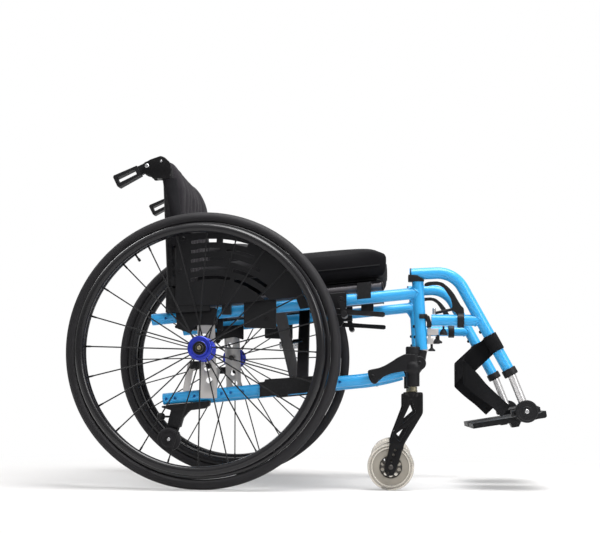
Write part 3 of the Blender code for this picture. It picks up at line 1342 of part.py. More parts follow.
def anti_tip_wheel():
    """Little rubber wheel beside the leg."""
    y = -FRAME_Y - 0.0055
    bore = TIP_AXLE_R + GAP
    profile = ((bore, 0), (TIP_R - 0.003, 0), (TIP_R, 0.003), (TIP_R, 2 * TIP_HALF - 0.003),
               (TIP_R - 0.003, 2 * TIP_HALF), (bore, 2 * TIP_HALF))
    return turned_ring(profile, at(TIP_WHEEL, y), Vector((0, -1, 0)), 24)


def anti_tip(root):
    """Anti-tip wheel on the right lower tube."""
    piece("anti_tip_leg", anti_tip_leg(), "black_plastic", root)
    knob = joint("anti_tip_knob_slide", tip_knob_axis()[1], root)
    piece("anti_tip_knob", anti_tip_knob(), "black_plastic", knob)
    spin = joint("anti_tip_wheel_axis", at(TIP_WHEEL, -FRAME_Y), root)
    piece("anti_tip_wheel", anti_tip_wheel(), "tyre", spin)


# Push handles
def push_handle(side):
    """Flat loop handle with the eye that it folds on."""
    along = Vector((-cos(HANDLE_DROOP), -sin(HANDLE_DROOP)))
    square = Vector((-along.y, along.x))
    y = side * FRAME_Y

    def spot(s, h):
        p = HANDLE_PIVOT + along * s + square * h
        return (p.x, p.y)

    h = HANDLE_H / 2
    start = HANDLE_EYE + 0.0090
    loop = plate([spot(start, -h + 0.003), spot(HANDLE_LEN - 0.003, -h), spot(HANDLE_LEN, -h + 0.003),
                  spot(HANDLE_LEN, h - 0.003), spot(HANDLE_LEN - 0.003, h), spot(start, h - 0.003)],
                 y - HANDLE_W / 2, y + HANDLE_W / 2)
    s = HANDLE_SLOT / 2
    window = plate([spot(start + 0.008, -s), spot(HANDLE_LEN - 0.007, -s), spot(HANDLE_LEN - 0.007, s),
                    spot(start + 0.008, s)], y - HANDLE_W, y + HANDLE_W)
    tongue = plate([spot(0, -0.010), spot(start + 0.002, -0.010), spot(start + 0.002, 0.010), spot(0, 0.010)],
                   y - TONGUE_HALF, y + TONGUE_HALF)
    eye = turned(HANDLE_EYE, at(HANDLE_PIVOT, y - TONGUE_HALF), at(HANDLE_PIVOT, y + TONGUE_HALF), 16)
    bore = turned(HANDLE_PIN + GAP, at(HANDLE_PIVOT, y - 0.03), at(HANDLE_PIVOT, y + 0.03), 12)
    return combined([loop, tongue, eye], [window, bore])


# Assembly
def side_frame(side, root):
    """Everything that belongs to one side frame."""
    name = side_name(side)
    piece("upper_frame_" + name, upper_frame(side), "blue_paint", root)
    piece("lower_tube_" + name, lower_tube(side), "blue_paint", root)
    piece("axle_plate_" + name, axle_plate(side), "aluminium", root)
    piece("caster_housing_" + name, caster_housing(side), "black_cast", root)
    piece("back_cane_" + name, back_cane(side), "black_cast", root)
    piece("side_guard_" + name, side_guard(side), "black_plastic", root)
    piece("brace_bearing_" + name, brace_bearing(side), "black_plastic", root)
    piece("seat_rail_cradle_" + name, cradle(side), "black_plastic", root)
    brake(side, root)
    rear_wheel(side, root)
    caster(side, root)
    hanger(side, root)
    handle = joint("push_handle_axis_" + name, at(HANDLE_PIVOT, side * FRAME_Y), root)
    piece("push_handle_" + name, push_handle(side), "black_plastic", handle)


def build():
    """The whole chair. The right side frame is the fixed one; the rest folds towards it."""
    root = empty("wheelchair", Vector((-ORIGIN_X, 0, 0)))
    side_frame(-1, root)
    left = cross_brace(root)
    side_frame(1, left)
    piece("seat_cushion", cushion(), "seat_fabric", root, 60)
    piece("seat_sling", seat_sling(), "seat_fabric", root)
    piece("back_sling", back_sling(), "back_fabric", root, 50)
    anti_tip(root)


build()
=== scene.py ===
# %% [markdown]
# # Dressing an active wheelchair
#
# The solids of the chair come in with their real sizes and places. This notebook gives them
# their skin: smooth tubes with weld beads, a spoked wheel, cast and moulded fittings, a stuffed
# seat cushion and a pleated back. Every new piece rides on the body that carries it, so the
# whole chair still folds, rolls and swivels.

# %% Load the frame
import json
from math import atan2, cos, pi, radians, sin, tan

import bmesh
import bpy
from mathutils import Matrix, Vector, noise


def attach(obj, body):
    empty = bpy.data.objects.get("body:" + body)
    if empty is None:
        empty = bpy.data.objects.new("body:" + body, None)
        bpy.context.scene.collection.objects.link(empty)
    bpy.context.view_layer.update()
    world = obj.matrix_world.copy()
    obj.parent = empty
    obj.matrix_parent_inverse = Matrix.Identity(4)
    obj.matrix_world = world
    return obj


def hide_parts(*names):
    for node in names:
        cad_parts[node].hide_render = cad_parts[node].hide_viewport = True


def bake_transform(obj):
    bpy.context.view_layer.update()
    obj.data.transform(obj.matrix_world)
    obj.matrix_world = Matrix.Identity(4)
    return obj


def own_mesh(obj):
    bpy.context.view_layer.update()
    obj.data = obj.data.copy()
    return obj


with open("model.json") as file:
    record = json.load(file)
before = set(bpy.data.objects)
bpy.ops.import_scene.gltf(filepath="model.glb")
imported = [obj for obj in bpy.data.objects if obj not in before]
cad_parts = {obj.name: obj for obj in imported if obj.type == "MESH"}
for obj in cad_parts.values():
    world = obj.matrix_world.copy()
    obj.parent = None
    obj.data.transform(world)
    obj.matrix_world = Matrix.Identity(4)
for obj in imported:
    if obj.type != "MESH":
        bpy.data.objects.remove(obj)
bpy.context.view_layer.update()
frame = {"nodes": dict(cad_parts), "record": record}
joints = {joint["name"]: joint for joint in frame["record"]["behaviour"]["joints"]}
SIDES = {"right": -1, "left": 1}

# %% [markdown]
# Side views are easiest to think about from the rear axle, because the chair was measured from
# it. So the outlines below give x from the axle and z from the floor, and `at` turns them into
# points of the shared frame. The axle itself is read from the wheel's joint.

# %% Where things are
AXLE = Vector(joints["rear_wheel_spin_right"]["pos_m"])
FRAME_Y = -joints["hanger_swing_right"]["pos_m"][1]
TUBE = 0.0125
GAP = 0.0003
TILT = radians(6.0)


def at(x, y, z):
    """A point from x counted from the rear axle."""
    return Vector((AXLE.x + x, y, z))


def top_z(x):
    """Height of the top side tube."""
    return 0.3735 + x * tan(TILT)


def low_z(x):
    """Height of the lower side tube."""
    return 0.1980 + x * tan(TILT)


def post_x(z):
    """The front post leans back to its top."""
    return 0.4574 + (0.4452 - z) * tan(radians(3.2))


def cane_x(z):
    """The back cane leans back."""
    return -0.0757 - (z - 0.3776) * tan(radians(3.3))


# %% [markdown]
# ## Finishes
#
# A real surface is never one flat value. Coats and castings have a fine grain, handled edges wear
# a little lighter, and cloth shows its weave. The same lighter edges serve as a painted highlight
# along the fork's bevels. Those three effects return in many finishes, so each is a node group
# that is built once and placed with its own values.

# %% Node groups for grain, edge wear with painted edge highlight, and weave
BUMP_DEPTH = 0.0006


def node_group(name, inputs, outputs):
    """An empty shader group with its sockets."""
    tree = bpy.data.node_groups.new(name, "ShaderNodeTree")
    for label, value in inputs:
        socket = tree.interface.new_socket(label, in_out="INPUT", socket_type="NodeSocketFloat")
        socket.default_value = value
    for label, kind in outputs:
        tree.interface.new_socket(label, in_out="OUTPUT", socket_type=kind)
    return tree, tree.nodes.new("NodeGroupInput"), tree.nodes.new("NodeGroupOutput")


def node(tree, kind, *numbered, **named):
    """A node with its settings and inputs. An input that is given another node's socket is linked."""
    made = tree.nodes.new(kind)
    for key, value in (*named.items(), *enumerate(numbered)):
        if isinstance(key, str) and hasattr(made, key):
            setattr(made, key, value)
            continue
        socket = made.inputs[key.replace("_", " ") if isinstance(key, str) else key]
        if isinstance(value, bpy.types.NodeSocket):
            tree.links.new(value, socket)
        else:
            socket.default_value = value
    return made


def maths(tree, operation, first, second):
    """The result of one calculation with two numbers or sockets."""
    return node(tree, "ShaderNodeMath", first, second, operation=operation).outputs["Value"]


def grain_group():
    """Fine bumps, and a slow drift of tone over the surface."""
    tree, given, result = node_group(
        "surface_grain", (("Scale", 900.0), ("Depth", 0.1)),
        (("Normal", "NodeSocketVector"), ("Tone", "NodeSocketFloat")))
    place = node(tree, "ShaderNodeTexCoord").outputs["Object"]
    fine = node(tree, "ShaderNodeTexNoise", Vector=place, Scale=given.outputs["Scale"], Detail=3.0)
    slow = node(tree, "ShaderNodeTexNoise", Vector=place, Scale=14.0, Detail=4.0)
    bump = node(tree, "ShaderNodeBump", Distance=BUMP_DEPTH, Strength=given.outputs["Depth"],
                Height=fine.outputs["Fac"])
    tree.links.new(bump.outputs["Normal"], result.inputs["Normal"])
    tree.links.new(slow.outputs["Fac"], result.inputs["Tone"])
    return tree


def wear_and_highlight_group():
    """A mask that is 1 on convex edges, broken up by noise: real wear, and on the fork a painted
    highlight.
    """
    tree, given, result = node_group("edge_wear_and_highlight", (("Amount", 0.5),), (("Mask", "NodeSocketFloat"),))
    convex = node(tree, "ShaderNodeNewGeometry").outputs["Pointiness"]
    place = node(tree, "ShaderNodeTexCoord").outputs["Object"]
    rough = node(tree, "ShaderNodeTexNoise", Vector=place, Scale=160.0, Detail=5.0).outputs["Fac"]
    edge = node(tree, "ShaderNodeMapRange", Value=convex, From_Min=0.53, From_Max=0.62)
    patch = node(tree, "ShaderNodeMapRange", Value=rough, From_Min=0.50, From_Max=0.66)
    both = maths(tree, "MULTIPLY", edge.outputs["Result"], patch.outputs["Result"])
    tree.links.new(maths(tree, "MULTIPLY", both, given.outputs["Amount"]), result.inputs["Mask"])
    return tree


def weave_group():
    """Crossing threads. Waves along the three axes, each fading where the surface faces it."""
    tree, given, result = node_group(
        "weave", (("Scale", 500.0), ("Depth", 0.5)),
        (("Normal", "NodeSocketVector"), ("Thread", "NodeSocketFloat")))
    place = node(tree, "ShaderNodeTexCoord").outputs["Object"]
    normal = node(tree, "ShaderNodeNewGeometry").outputs["Normal"]
    towards = node(tree, "ShaderNodeSeparateXYZ", Vector=normal)
    threads = []
    for axis in "XYZ":
        wave = node(tree, "ShaderNodeTexWave", wave_type="BANDS", bands_direction=axis, Vector=place,
                    Scale=given.outputs["Scale"], Distortion=1.2, Detail=1.0)
        square = maths(tree, "MULTIPLY", towards.outputs[axis], towards.outputs[axis])
        away = maths(tree, "SUBTRACT", 1.0, square)
        threads.append(maths(tree, "MULTIPLY", away, wave.outputs["Fac"]))
    total = maths(tree, "ADD", maths(tree, "ADD", threads[0], threads[1]), threads[2])
    thread = maths(tree, "MULTIPLY", total, 0.5)
    bump = node(tree, "ShaderNodeBump", Distance=BUMP_DEPTH, Strength=given.outputs["Depth"],
                Height=thread)
    tree.links.new(bump.outputs["Normal"], result.inputs["Normal"])
    tree.links.new(thread, result.inputs["Thread"])
    return tree


GRAIN, WEAR_AND_HIGHLIGHT, WEAVE = grain_group(), wear_and_highlight_group(), weave_group()

# %% [markdown]
# One function then makes any finish: a base colour that drifts a little with the tone, a lighter
# colour on the edges for wear, used on the fork as a painted highlight, a roughness that follows
# the tone, and grain or weave in the normal.
# Values that are the same all over the surface are set on the shader's own sockets.

# %% The finish function
finishes = {}


def finish(name, slot, colour, roughness, metallic=0.0, tone=0.12, wear_and_edge_highlight=None, grain=(900.0, 0.1),
           weave=None, **shader_values):
    """A Principled material with tone, lighter edges for wear and painted highlight, and a fine
    surface. It is kept with its slot.
    """
    material = bpy.data.materials.new(name)
    material.use_nodes = True
    tree = material.node_tree
    shader = tree.nodes["Principled BSDF"]
    shader.inputs["Metallic"].default_value = metallic
    for key, value in shader_values.items():
        shader.inputs[key.replace("_", " ")].default_value = value
    fine = node(tree, "ShaderNodeGroup", node_tree=GRAIN, Scale=grain[0], Depth=grain[1])
    mask, normal = fine.outputs["Tone"], fine.outputs["Normal"]
    if weave:
        cloth = node(tree, "ShaderNodeGroup", node_tree=WEAVE, Scale=weave[0], Depth=weave[1])
        mask, normal = cloth.outputs["Thread"], cloth.outputs["Normal"]
    darker, lighter = [(*[c * (1 + drift) for c in colour], 1.0) for drift in (-tone, tone)]
    shown = node(tree, "ShaderNodeMix", data_type="RGBA", Factor=mask, A=darker, B=lighter)
    if wear_and_edge_highlight:
        amount, wear_and_highlight_colour = wear_and_edge_highlight
        wear_and_highlight_mask = node(tree, "ShaderNodeGroup", node_tree=WEAR_AND_HIGHLIGHT, Amount=amount)
        shown = node(tree, "ShaderNodeMix", data_type="RGBA", Factor=wear_and_highlight_mask.outputs["Mask"],
                     A=shown.outputs["Result"], B=(*wear_and_highlight_colour, 1.0))
    spread = node(tree, "ShaderNodeMapRange", Value=fine.outputs["Tone"], To_Min=roughness * 0.9,
                  To_Max=roughness * 1.12)
    tree.links.new(spread.outputs["Result"], shader.inputs["Roughness"])
    tree.links.new(shown.outputs["Result"], shader.inputs["Base Color"])
    tree.links.new(normal, shader.inputs["Normal"])
    finishes[name] = (material, slot)


# %% [markdown]
# The colours are read off the chair: azure powder coat, black castings and mouldings,
# a cobalt hub, bare and satin aluminium, and clear grey casters. Black plastic is not zero, or
# its form would vanish, but its mirror share is set low, because old matt plastic and rubber
# give back little of the white room.

# %% The finishes
finish("azure_powder_coat", "frame_blue", (0.030, 0.375, 0.78), 0.36, tone=0.05,
       grain=(700.0, 0.05), Coat_Weight=0.3, Coat_Roughness=0.14, Specular_IOR_Level=0.4)
finish("black_casting", "black_cast", (0.0085, 0.0083, 0.0095), 0.40,
       wear_and_edge_highlight=(0.45, (0.06, 0.06, 0.06)), grain=(1100.0, 0.20), Specular_IOR_Level=0.21)
# The fork's light grey edges are a painted highlight, standing for the light along its bevels.
finish("fork_black", "black_cast", (0.0055, 0.0052, 0.0058), 0.34, wear_and_edge_highlight=(0.8, (0.24, 0.23, 0.23)),
       grain=(1100.0, 0.15), Specular_IOR_Level=0.16)
finish("moulded_black", "black_plastic", (0.0095, 0.0095, 0.0108), 0.46,
       wear_and_edge_highlight=(0.3, (0.045, 0.045, 0.045)), grain=(1500.0, 0.16), Specular_IOR_Level=0.22)
finish("tyre_rubber", "tyre", (0.017, 0.016, 0.018), 0.60, tone=0.25, grain=(1300.0, 0.28),
       Specular_IOR_Level=0.28)
finish("black_anodised", "rim_black", (0.007, 0.0065, 0.008), 0.22, grain=(600.0, 0.01),
       Specular_IOR_Level=0.42)
finish("spoke_black", "black_cast", (0.007, 0.007, 0.008), 0.38, Specular_IOR_Level=0.30)
finish("cobalt_anodised", "hub_blue", (0.009, 0.026, 0.40), 0.28, metallic=0.5, tone=0.06,
       grain=(500.0, 0.01), Coat_Weight=0.35, Coat_Roughness=0.12)
finish("plate_aluminium", "aluminium", (0.55, 0.53, 0.52), 0.42, metallic=0.75, grain=(1800.0, 0.12))
finish("satin_tube", "silver_tube", (0.66, 0.65, 0.65), 0.34, metallic=0.8, grain=(1600.0, 0.06))
finish("turned_steel", "steel", (0.56, 0.56, 0.57), 0.24, metallic=1.0, grain=(2200.0, 0.05))
finish("dark_steel", "steel", (0.060, 0.056, 0.052), 0.34, metallic=0.6, grain=(2000.0, 0.05))
finish("brass", "steel", (0.27, 0.245, 0.17), 0.36, metallic=0.85, grain=(2000.0, 0.05))
finish("brace_coat", "brace_grey", (0.030, 0.028, 0.030), 0.42, grain=(900.0, 0.12),
       Specular_IOR_Level=0.35)
finish("rail_coat", "brace_grey", (0.095, 0.088, 0.095), 0.36, metallic=0.2, grain=(900.0, 0.08))
finish("clear_polyurethane", "caster_tyre", (0.74, 0.70, 0.63), 0.10, tone=0.05, grain=(300.0, 0.02),
       Transmission_Weight=0.78, IOR=1.38, Specular_IOR_Level=0.4)
finish("clear_inner", "caster_tyre", (0.44, 0.405, 0.345), 0.22, tone=0.06, grain=(300.0, 0.03),
       Transmission_Weight=0.5, IOR=1.42, Specular_IOR_Level=0.4)
finish("clear_core", "caster_tyre", (0.085, 0.076, 0.066), 0.26, tone=0.08, Transmission_Weight=0.15,
       IOR=1.45, Specular_IOR_Level=0.5)
finish("seat_cover", "seat_fabric", (0.0065, 0.0062, 0.0075), 0.84, tone=0.35, weave=(420.0, 0.35),
       Specular_IOR_Level=0.12, Sheen_Weight=0.03, Sheen_Roughness=0.5)
finish("seat_border", "seat_fabric", (0.012, 0.012, 0.013), 0.74, tone=0.35, weave=(520.0, 0.45),
       Specular_IOR_Level=0.15)
finish("back_cover", "back_fabric", (0.024, 0.0215, 0.025), 0.86, tone=0.30, weave=(520.0, 0.35),
       Specular_IOR_Level=0.12, Sheen_Weight=0.06, Sheen_Roughness=0.5)
finish("back_hem", "back_fabric", (0.012, 0.0115, 0.0135), 0.80, tone=0.30, weave=(560.0, 0.45),
       Specular_IOR_Level=0.14)
finish("webbing_strap", "webbing", (0.0075, 0.0075, 0.0085), 0.80, tone=0.5, weave=(700.0, 0.8),
       Specular_IOR_Level=0.14)
print("finishes:", len(finishes))

# %% [markdown]
# ## Shapes from simple operators
#
# Nearly all of the chair is bent tube, turned parts and plates. So three tools make most of it:
# `pipe` carries a circle along a path, `lathe` spins a profile and `plate` gives an outline a
# thickness. Each starts from a few vertices and lets a mesh operator do the work. `turned` and
# `slab` are the same lathe and plate with their corners eased.

# %% Pipe, lathe and plate
def pipe(points, radius, sides=32):
    """A round bar: one filled circle, pushed from point to point and turned with the path."""
    bm = bmesh.new()
    bmesh.ops.create_circle(bm, cap_ends=True, segments=sides, radius=radius)
    face = bm.faces[:][0]
    centre, heading = Vector((0, 0, 0)), Vector((0, 0, 1))
    for i, point in enumerate(points):
        ahead = (points[min(i + 1, len(points) - 1)] - points[max(i - 1, 0)]).normalized()
        if i:
            face = bmesh.ops.extrude_discrete_faces(bm, faces=[face])["faces"][0]
        turn = heading.rotation_difference(ahead).to_matrix()
        bmesh.ops.rotate(bm, verts=face.verts, cent=centre, matrix=turn)
        bmesh.ops.translate(bm, verts=face.verts, vec=point - centre)
        centre, heading = point, ahead
    bmesh.ops.holes_fill(bm, edges=[edge for edge in bm.edges if edge.is_boundary])
    return bm


def lathe(profile, steps=48, place=None):
    """Spin a closed outline of (radius, height) round the Z axis, then put it in its place."""
    bm = bmesh.new()
    corners = [bm.verts.new((r, 0, h)) for r, h in profile]
    rims = [bm.edges.new(pair) for pair in zip(corners, corners[1:] + corners[:1])
            if pair[0].co.x > 1e-6 or pair[1].co.x > 1e-6]
    bmesh.ops.spin(bm, geom=corners + rims, cent=(0, 0, 0), axis=(0, 0, 1), angle=2 * pi,
                   steps=steps, use_merge=True)
    bmesh.ops.remove_doubles(bm, verts=bm.verts, dist=1e-6)
    if place:
        bmesh.ops.transform(bm, matrix=place, verts=bm.verts)
    return bm


def rounded(points, radius, steps=4):
    """A closed outline with each corner turned into a short curve. Points on the axis stay."""
    result = []
    for i, corner in enumerate(points):
        here = Vector(corner)
        before, after = Vector(points[i - 1]) - here, Vector(points[(i + 1) % len(points)]) - here
        start = here + before.normalized() * min(radius, before.length * 0.45)
        end = here + after.normalized() * min(radius, after.length * 0.45)
        for k in range(steps + 1):
            t = k / steps
            result.append(start * (1 - t) ** 2 + here * (2 * t * (1 - t)) + end * t * t)
    return result


def turned(profile, radius=0.0006, steps=40, place=None):
    """A lathe part whose corners are eased, except those on its axis."""
    eased = []
    for i, (r, h) in enumerate(profile):
        if r < 1e-6:
            eased.append((0.0, h))
            continue
        window = [profile[i - 1], (r, h), profile[(i + 1) % len(profile)]]
        eased += [tuple(p) for p in rounded(window, radius, 3)[4:8]]
    return lathe(eased, steps, place)


def soften(bm, width, segments=2, angle=40):
    """Round every edge that is sharper than the angle."""
    bmesh.ops.recalc_face_normals(bm, faces=bm.faces)
    sharp = [e for e in bm.edges if len(e.link_faces) == 2 and e.calc_face_angle() > radians(angle)]
    bmesh.ops.bevel(bm, geom=sharp, offset=width, segments=segments, profile=0.5, affect="EDGES",
                    material=-1, clamp_overlap=True)
    return bm


def plate(outline, y0, y1, edge=0.0008):
    """An outline in the side view, given its thickness and softened edges."""
    bm = bmesh.new()
    face = bm.faces.new([bm.verts.new(at(x, y0, z)) for x, z in outline])
    grown = bmesh.ops.extrude_face_region(bm, geom=[face])["geom"]
    moved = [item for item in grown if isinstance(item, bmesh.types.BMVert)]
    bmesh.ops.translate(bm, verts=moved, vec=(0, y1 - y0, 0))
    return soften(bm, edge) if edge else bm


def slab(outline, corner, y0, y1, edge=0.0008, steps=3):
    """A plate with its outline's corners rounded off."""
    return plate(rounded(outline, corner, steps), y0, y1, edge)


def brick(low, high, edge=0.0008):
    """A box between two corners, with softened edges."""
    low, high = Vector(low), Vector(high)
    bm = bmesh.new()
    bmesh.ops.create_cube(bm, size=1.0)
    bmesh.ops.scale(bm, verts=bm.verts, vec=[abs(a) for a in high - low])
    bmesh.ops.translate(bm, verts=bm.verts, vec=(low + high) / 2)
    return soften(bm, edge)


def facing(point, direction):
    """The place of a turned part whose Z axis points along a direction."""
    return Matrix.Translation(point) @ direction.to_track_quat("Z", "X").to_matrix().to_4x4()


# %% [markdown]
# Pieces are put into the scene by one function. It merges doubles, turns the faces outwards,
# shades round stretches smooth, hangs the piece on the body it rides on, gives it its finish and
# hides the solid it stands for. Holes are cut with the exact Boolean before that.

# %% Keeping a piece
def gathered(*parts):
    """Several closed bodies in one mesh."""
    whole = bmesh.new()
    for part in parts:
        mesh = bpy.data.meshes.new("part")
        part.to_mesh(mesh)
        part.free()
        whole.from_mesh(mesh)
        bpy.data.meshes.remove(mesh)
    return whole


def as_object(bm, name):
    """A new object from a bmesh."""
    bmesh.ops.remove_doubles(bm, verts=bm.verts, dist=1e-6)
    bmesh.ops.recalc_face_normals(bm, faces=bm.faces)
    mesh = bpy.data.meshes.new(name)
    bm.to_mesh(mesh)
    bm.free()
    made = bpy.data.objects.new(name, mesh)
    bpy.context.scene.collection.objects.link(made)
    return made


def taken_back(made):
    """The bmesh of an object with its modifiers applied. The object goes."""
    bpy.context.view_layer.update()
    graph = bpy.context.evaluated_depsgraph_get()
    mesh = bpy.data.meshes.new_from_object(made.evaluated_get(graph))
    after = bmesh.new()
    after.from_mesh(mesh)
    bpy.data.objects.remove(made, do_unlink=True)
    bpy.data.meshes.remove(mesh)
    return after


def cut(bm, cutter):
    """The bmesh less a second one, by an exact Boolean."""
    base, tool = as_object(bm, "base"), as_object(cutter, "tool")
    change = base.modifiers.new("cut", "BOOLEAN")
    change.operation, change.solver, change.object = "DIFFERENCE", "EXACT", tool
    after = taken_back(base)
    bpy.data.objects.remove(tool, do_unlink=True)
    return after


def melted(bm, grain=0.0009, rounds=6):
    """Closed bodies that run into each other, melted into one casting with round inner corners."""
    base = as_object(bm, "melted")
    remesh = base.modifiers.new("melt", "REMESH")
    remesh.mode, remesh.voxel_size = "VOXEL", grain
    ease = base.modifiers.new("ease", "SMOOTH")
    ease.factor, ease.iterations = 0.5, rounds
    return taken_back(base)


def dress(made, body, look, replaces=(), sharp=35):
    """Shade a piece, give it its finish and hang it on its body."""
    material, slot = finishes[look]
    made.data.materials.clear()
    made.data.materials.append(material)
    made.data.shade_smooth()
    made.data.set_sharp_from_angle(angle=radians(sharp))
    if body:
        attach(made, body)
    if replaces:
        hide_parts(*replaces)
    return made


def keep(name, bm, body, look, replaces=(), sharp=35):
    """Name a finished mesh and dress it."""
    return dress(as_object(bm, name), body, look, replaces, sharp)


def refined(cad_node, name, body, look, edge=0.0008, segments=2, sharp=35):
    """A merged copy of a solid with its facets joined and its edges rounded, which stands for it."""
    bm = bmesh.new()
    bm.from_mesh(frame["nodes"][cad_node].data)
    bmesh.ops.remove_doubles(bm, verts=bm.verts, dist=1e-6)
    bmesh.ops.dissolve_limit(bm, angle_limit=radians(1), verts=bm.verts, edges=bm.edges)
    made = keep(name, bm, body, look, (cad_node,), sharp)
    rounding = made.modifiers.new("rounded_edges", "BEVEL")
    rounding.width, rounding.segments, rounding.angle_limit = edge, segments, radians(38)
    rounding.harden_normals = False
    return made


def screw(name, point, direction, radius, height, body, look="turned_steel"):
    """A button-head screw with a hexagon socket."""
    profile = ((0, 0), (radius, 0), (radius, height * 0.45), (radius * 0.72, height * 0.92),
               (radius * 0.45, height), (0, height))
    head = turned(profile, height * 0.15, 28, facing(point, direction))
    socket = bmesh.new()
    bmesh.ops.create_cone(socket, cap_ends=True, segments=6, radius1=radius * 0.42,
                          radius2=radius * 0.42, depth=height, matrix=facing(
                              point + direction.normalized() * height * 1.05, direction))
    return keep(name, cut(head, socket), body, look)


# %% [markdown]
# ## Camera, floor and light
#
# The photograph was taken from low down on the chair's right, with a long lens. The camera was
# solved from the wheel's rings, so it is given as a place, three angles and a focal length. The
# floor and the sky look white to the camera but light the chair at a plain level.

# %% The camera
CAMERA_AT = at(0.398, -2.907, 0.186)
YAW, PITCH, ROLL = radians(-4.16), radians(6.17), radians(0.49)
FOCAL = 74.86

camera_data = bpy.data.cameras.new("camera")
camera_data.lens = FOCAL
camera_data.sensor_width = 36.0
camera_data.sensor_fit = "HORIZONTAL"
camera = bpy.data.objects.new("camera", camera_data)
bpy.context.scene.collection.objects.link(camera)
forward = Vector((sin(YAW) * cos(PITCH), cos(YAW) * cos(PITCH), sin(PITCH)))
level = Vector((cos(YAW), -sin(YAW), 0))
right = level * cos(ROLL) + level.cross(forward) * sin(ROLL)
up = right.cross(forward)
turn = Matrix((right, up, -forward)).transposed().to_4x4()
camera.matrix_world = Matrix.Translation(CAMERA_AT) @ turn
bpy.context.scene.camera = camera


# %% Floor and sky
def seen_rays(tree, *kinds):
    """1 for the kinds of ray that see a thing, 0 for those that only carry its light."""
    path = node(tree, "ShaderNodeLightPath")
    total, *others = [path.outputs[f"Is {kind} Ray"] for kind in kinds]
    for ray in others:
        total = maths(tree, "MAXIMUM", total, ray)
    return total


def floor_material():
    """White to the eye with a soft shadow round the chair, and light grey for its own light."""
    material = bpy.data.materials.new("floor_white")
    material.use_nodes = True
    tree = material.node_tree
    tree.nodes.clear()
    place = node(tree, "ShaderNodeTexCoord").outputs["Object"]
    length = node(tree, "ShaderNodeVectorMath", place, operation="LENGTH").outputs["Value"]
    far = node(tree, "ShaderNodeMapRange", Value=length, From_Min=0.60, From_Max=1.5,
               interpolation_type="SMOOTHSTEP").outputs["Result"]
    plain = node(tree, "ShaderNodeBsdfDiffuse", Color=(0.80, 0.80, 0.80, 1)).outputs["BSDF"]
    soft = node(tree, "ShaderNodeBsdfDiffuse", Color=(0.66, 0.65, 0.645, 1)).outputs["BSDF"]
    glow = node(tree, "ShaderNodeEmission", Color=(1, 1, 1, 1), Strength=0.22).outputs["Emission"]
    white = node(tree, "ShaderNodeEmission", Color=(1, 1, 1, 1), Strength=1.0).outputs["Emission"]
    near = node(tree, "ShaderNodeAddShader", soft, glow).outputs["Shader"]
    seen = node(tree, "ShaderNodeMixShader", far, near, white).outputs["Shader"]
    looked_at = seen_rays(tree, "Camera", "Glossy", "Transmission")
    mixed = node(tree, "ShaderNodeMixShader", looked_at, plain, seen).outputs["Shader"]
    node(tree, "ShaderNodeOutputMaterial", Surface=mixed)
    return material


def sky():
    """White where it is seen. Mirrored, it is darker towards the horizon, like a real room."""
    world = bpy.data.worlds.new("studio")
    world.use_nodes = True
    tree = world.node_tree
    shade = tree.nodes["Background"]
    shade.inputs["Color"].default_value = (1, 1, 1, 1)
    place = node(tree, "ShaderNodeTexCoord").outputs["Generated"]
    height = node(tree, "ShaderNodeSeparateXYZ", place).outputs["Z"]
    room = node(tree, "ShaderNodeMapRange", Value=height, From_Min=0.0, From_Max=0.85, To_Min=0.30,
                To_Max=1.0).outputs["Result"]
    mirrored = node(tree, "ShaderNodeMix", data_type="FLOAT", Factor=seen_rays(tree, "Glossy"),
                    A=0.35, B=room).outputs["Result"]
    strength = node(tree, "ShaderNodeMix", data_type="FLOAT", A=mirrored, B=1.0,
                    Factor=seen_rays(tree, "Camera", "Transmission")).outputs["Result"]
    tree.links.new(strength, shade.inputs["Strength"])
    bpy.context.scene.world = world


ground = bmesh.new()
bmesh.ops.create_grid(ground, x_segments=1, y_segments=1, size=12.0)
floor = as_object(ground, "floor")
floor.data.materials.append(floor_material())
sky()


# %% Lamps
def softbox(name, place, target, size, power):
    """A square area lamp aimed at a point."""
    lamp = bpy.data.lights.new(name, "AREA")
    lamp.shape, lamp.size, lamp.energy = "SQUARE", size, power
    made = bpy.data.objects.new(name, lamp)
    bpy.context.scene.collection.objects.link(made)
    aim = (Vector(target) - Vector(place)).to_track_quat("-Z", "Y").to_matrix().to_4x4()
    made.matrix_world = Matrix.Translation(place) @ aim


softbox("overhead", (0.5, -0.6, 2.6), (0, 0, 0.3), 1.6, 84)
softbox("front_fill", (2.2, -1.8, 1.5), (0.1, 0, 0.3), 1.1, 27)
softbox("back_fill", (-1.8, 1.8, 1.9), (0, 0, 0.4), 1.2, 20)
bpy.context.scene.view_settings.view_transform = "Standard"

# %% [markdown]
# ## Rear wheels
#
# A 24 inch wheel: a slim round tyre on a deep black rim, a push rim on six tabs, 24 straight
# spokes in pairs and a cobalt hub. Everything that turns is a lathe part in the wheel's own
# axes, with +Z pointing outboard, and one matrix tips it to its 1 degree camber.

# %% Wheel sizes
WHEEL_R, TYRE_R = 0.2950, 0.0125
RIM_IN, RIM_SEAT, RIM_HALF = 0.2510, 0.2726, 0.0112
HANDRIM_R, HANDRIM_TUBE, HANDRIM_OUT = 0.2545, 0.0095, 0.0450
SPOKES, WHEEL_Y = 24, 0.272
HUB_OUT, HUB_IN, FLANGE_R = 0.0440, 0.0295, 0.0260


def wheel_place(name):
    """The wheel's own axes: X forward and Z outboard along the axle."""
    joint = joints["rear_wheel_spin_" + name]
    outward = Vector(joint["axis"]) * SIDES[name]
    outward = outward if outward.y * SIDES[name] > 0 else -outward
    turn = Matrix((Vector((1, 0, 0)), outward.cross(Vector((1, 0, 0))), outward)).transposed()
    return Matrix.Translation(joint["pos_m"]) @ turn.to_4x4()


def spoke_angle(index):
    """The spokes meet the rim evenly spaced."""
    return radians(-1.1) + 2 * pi * index / SPOKES


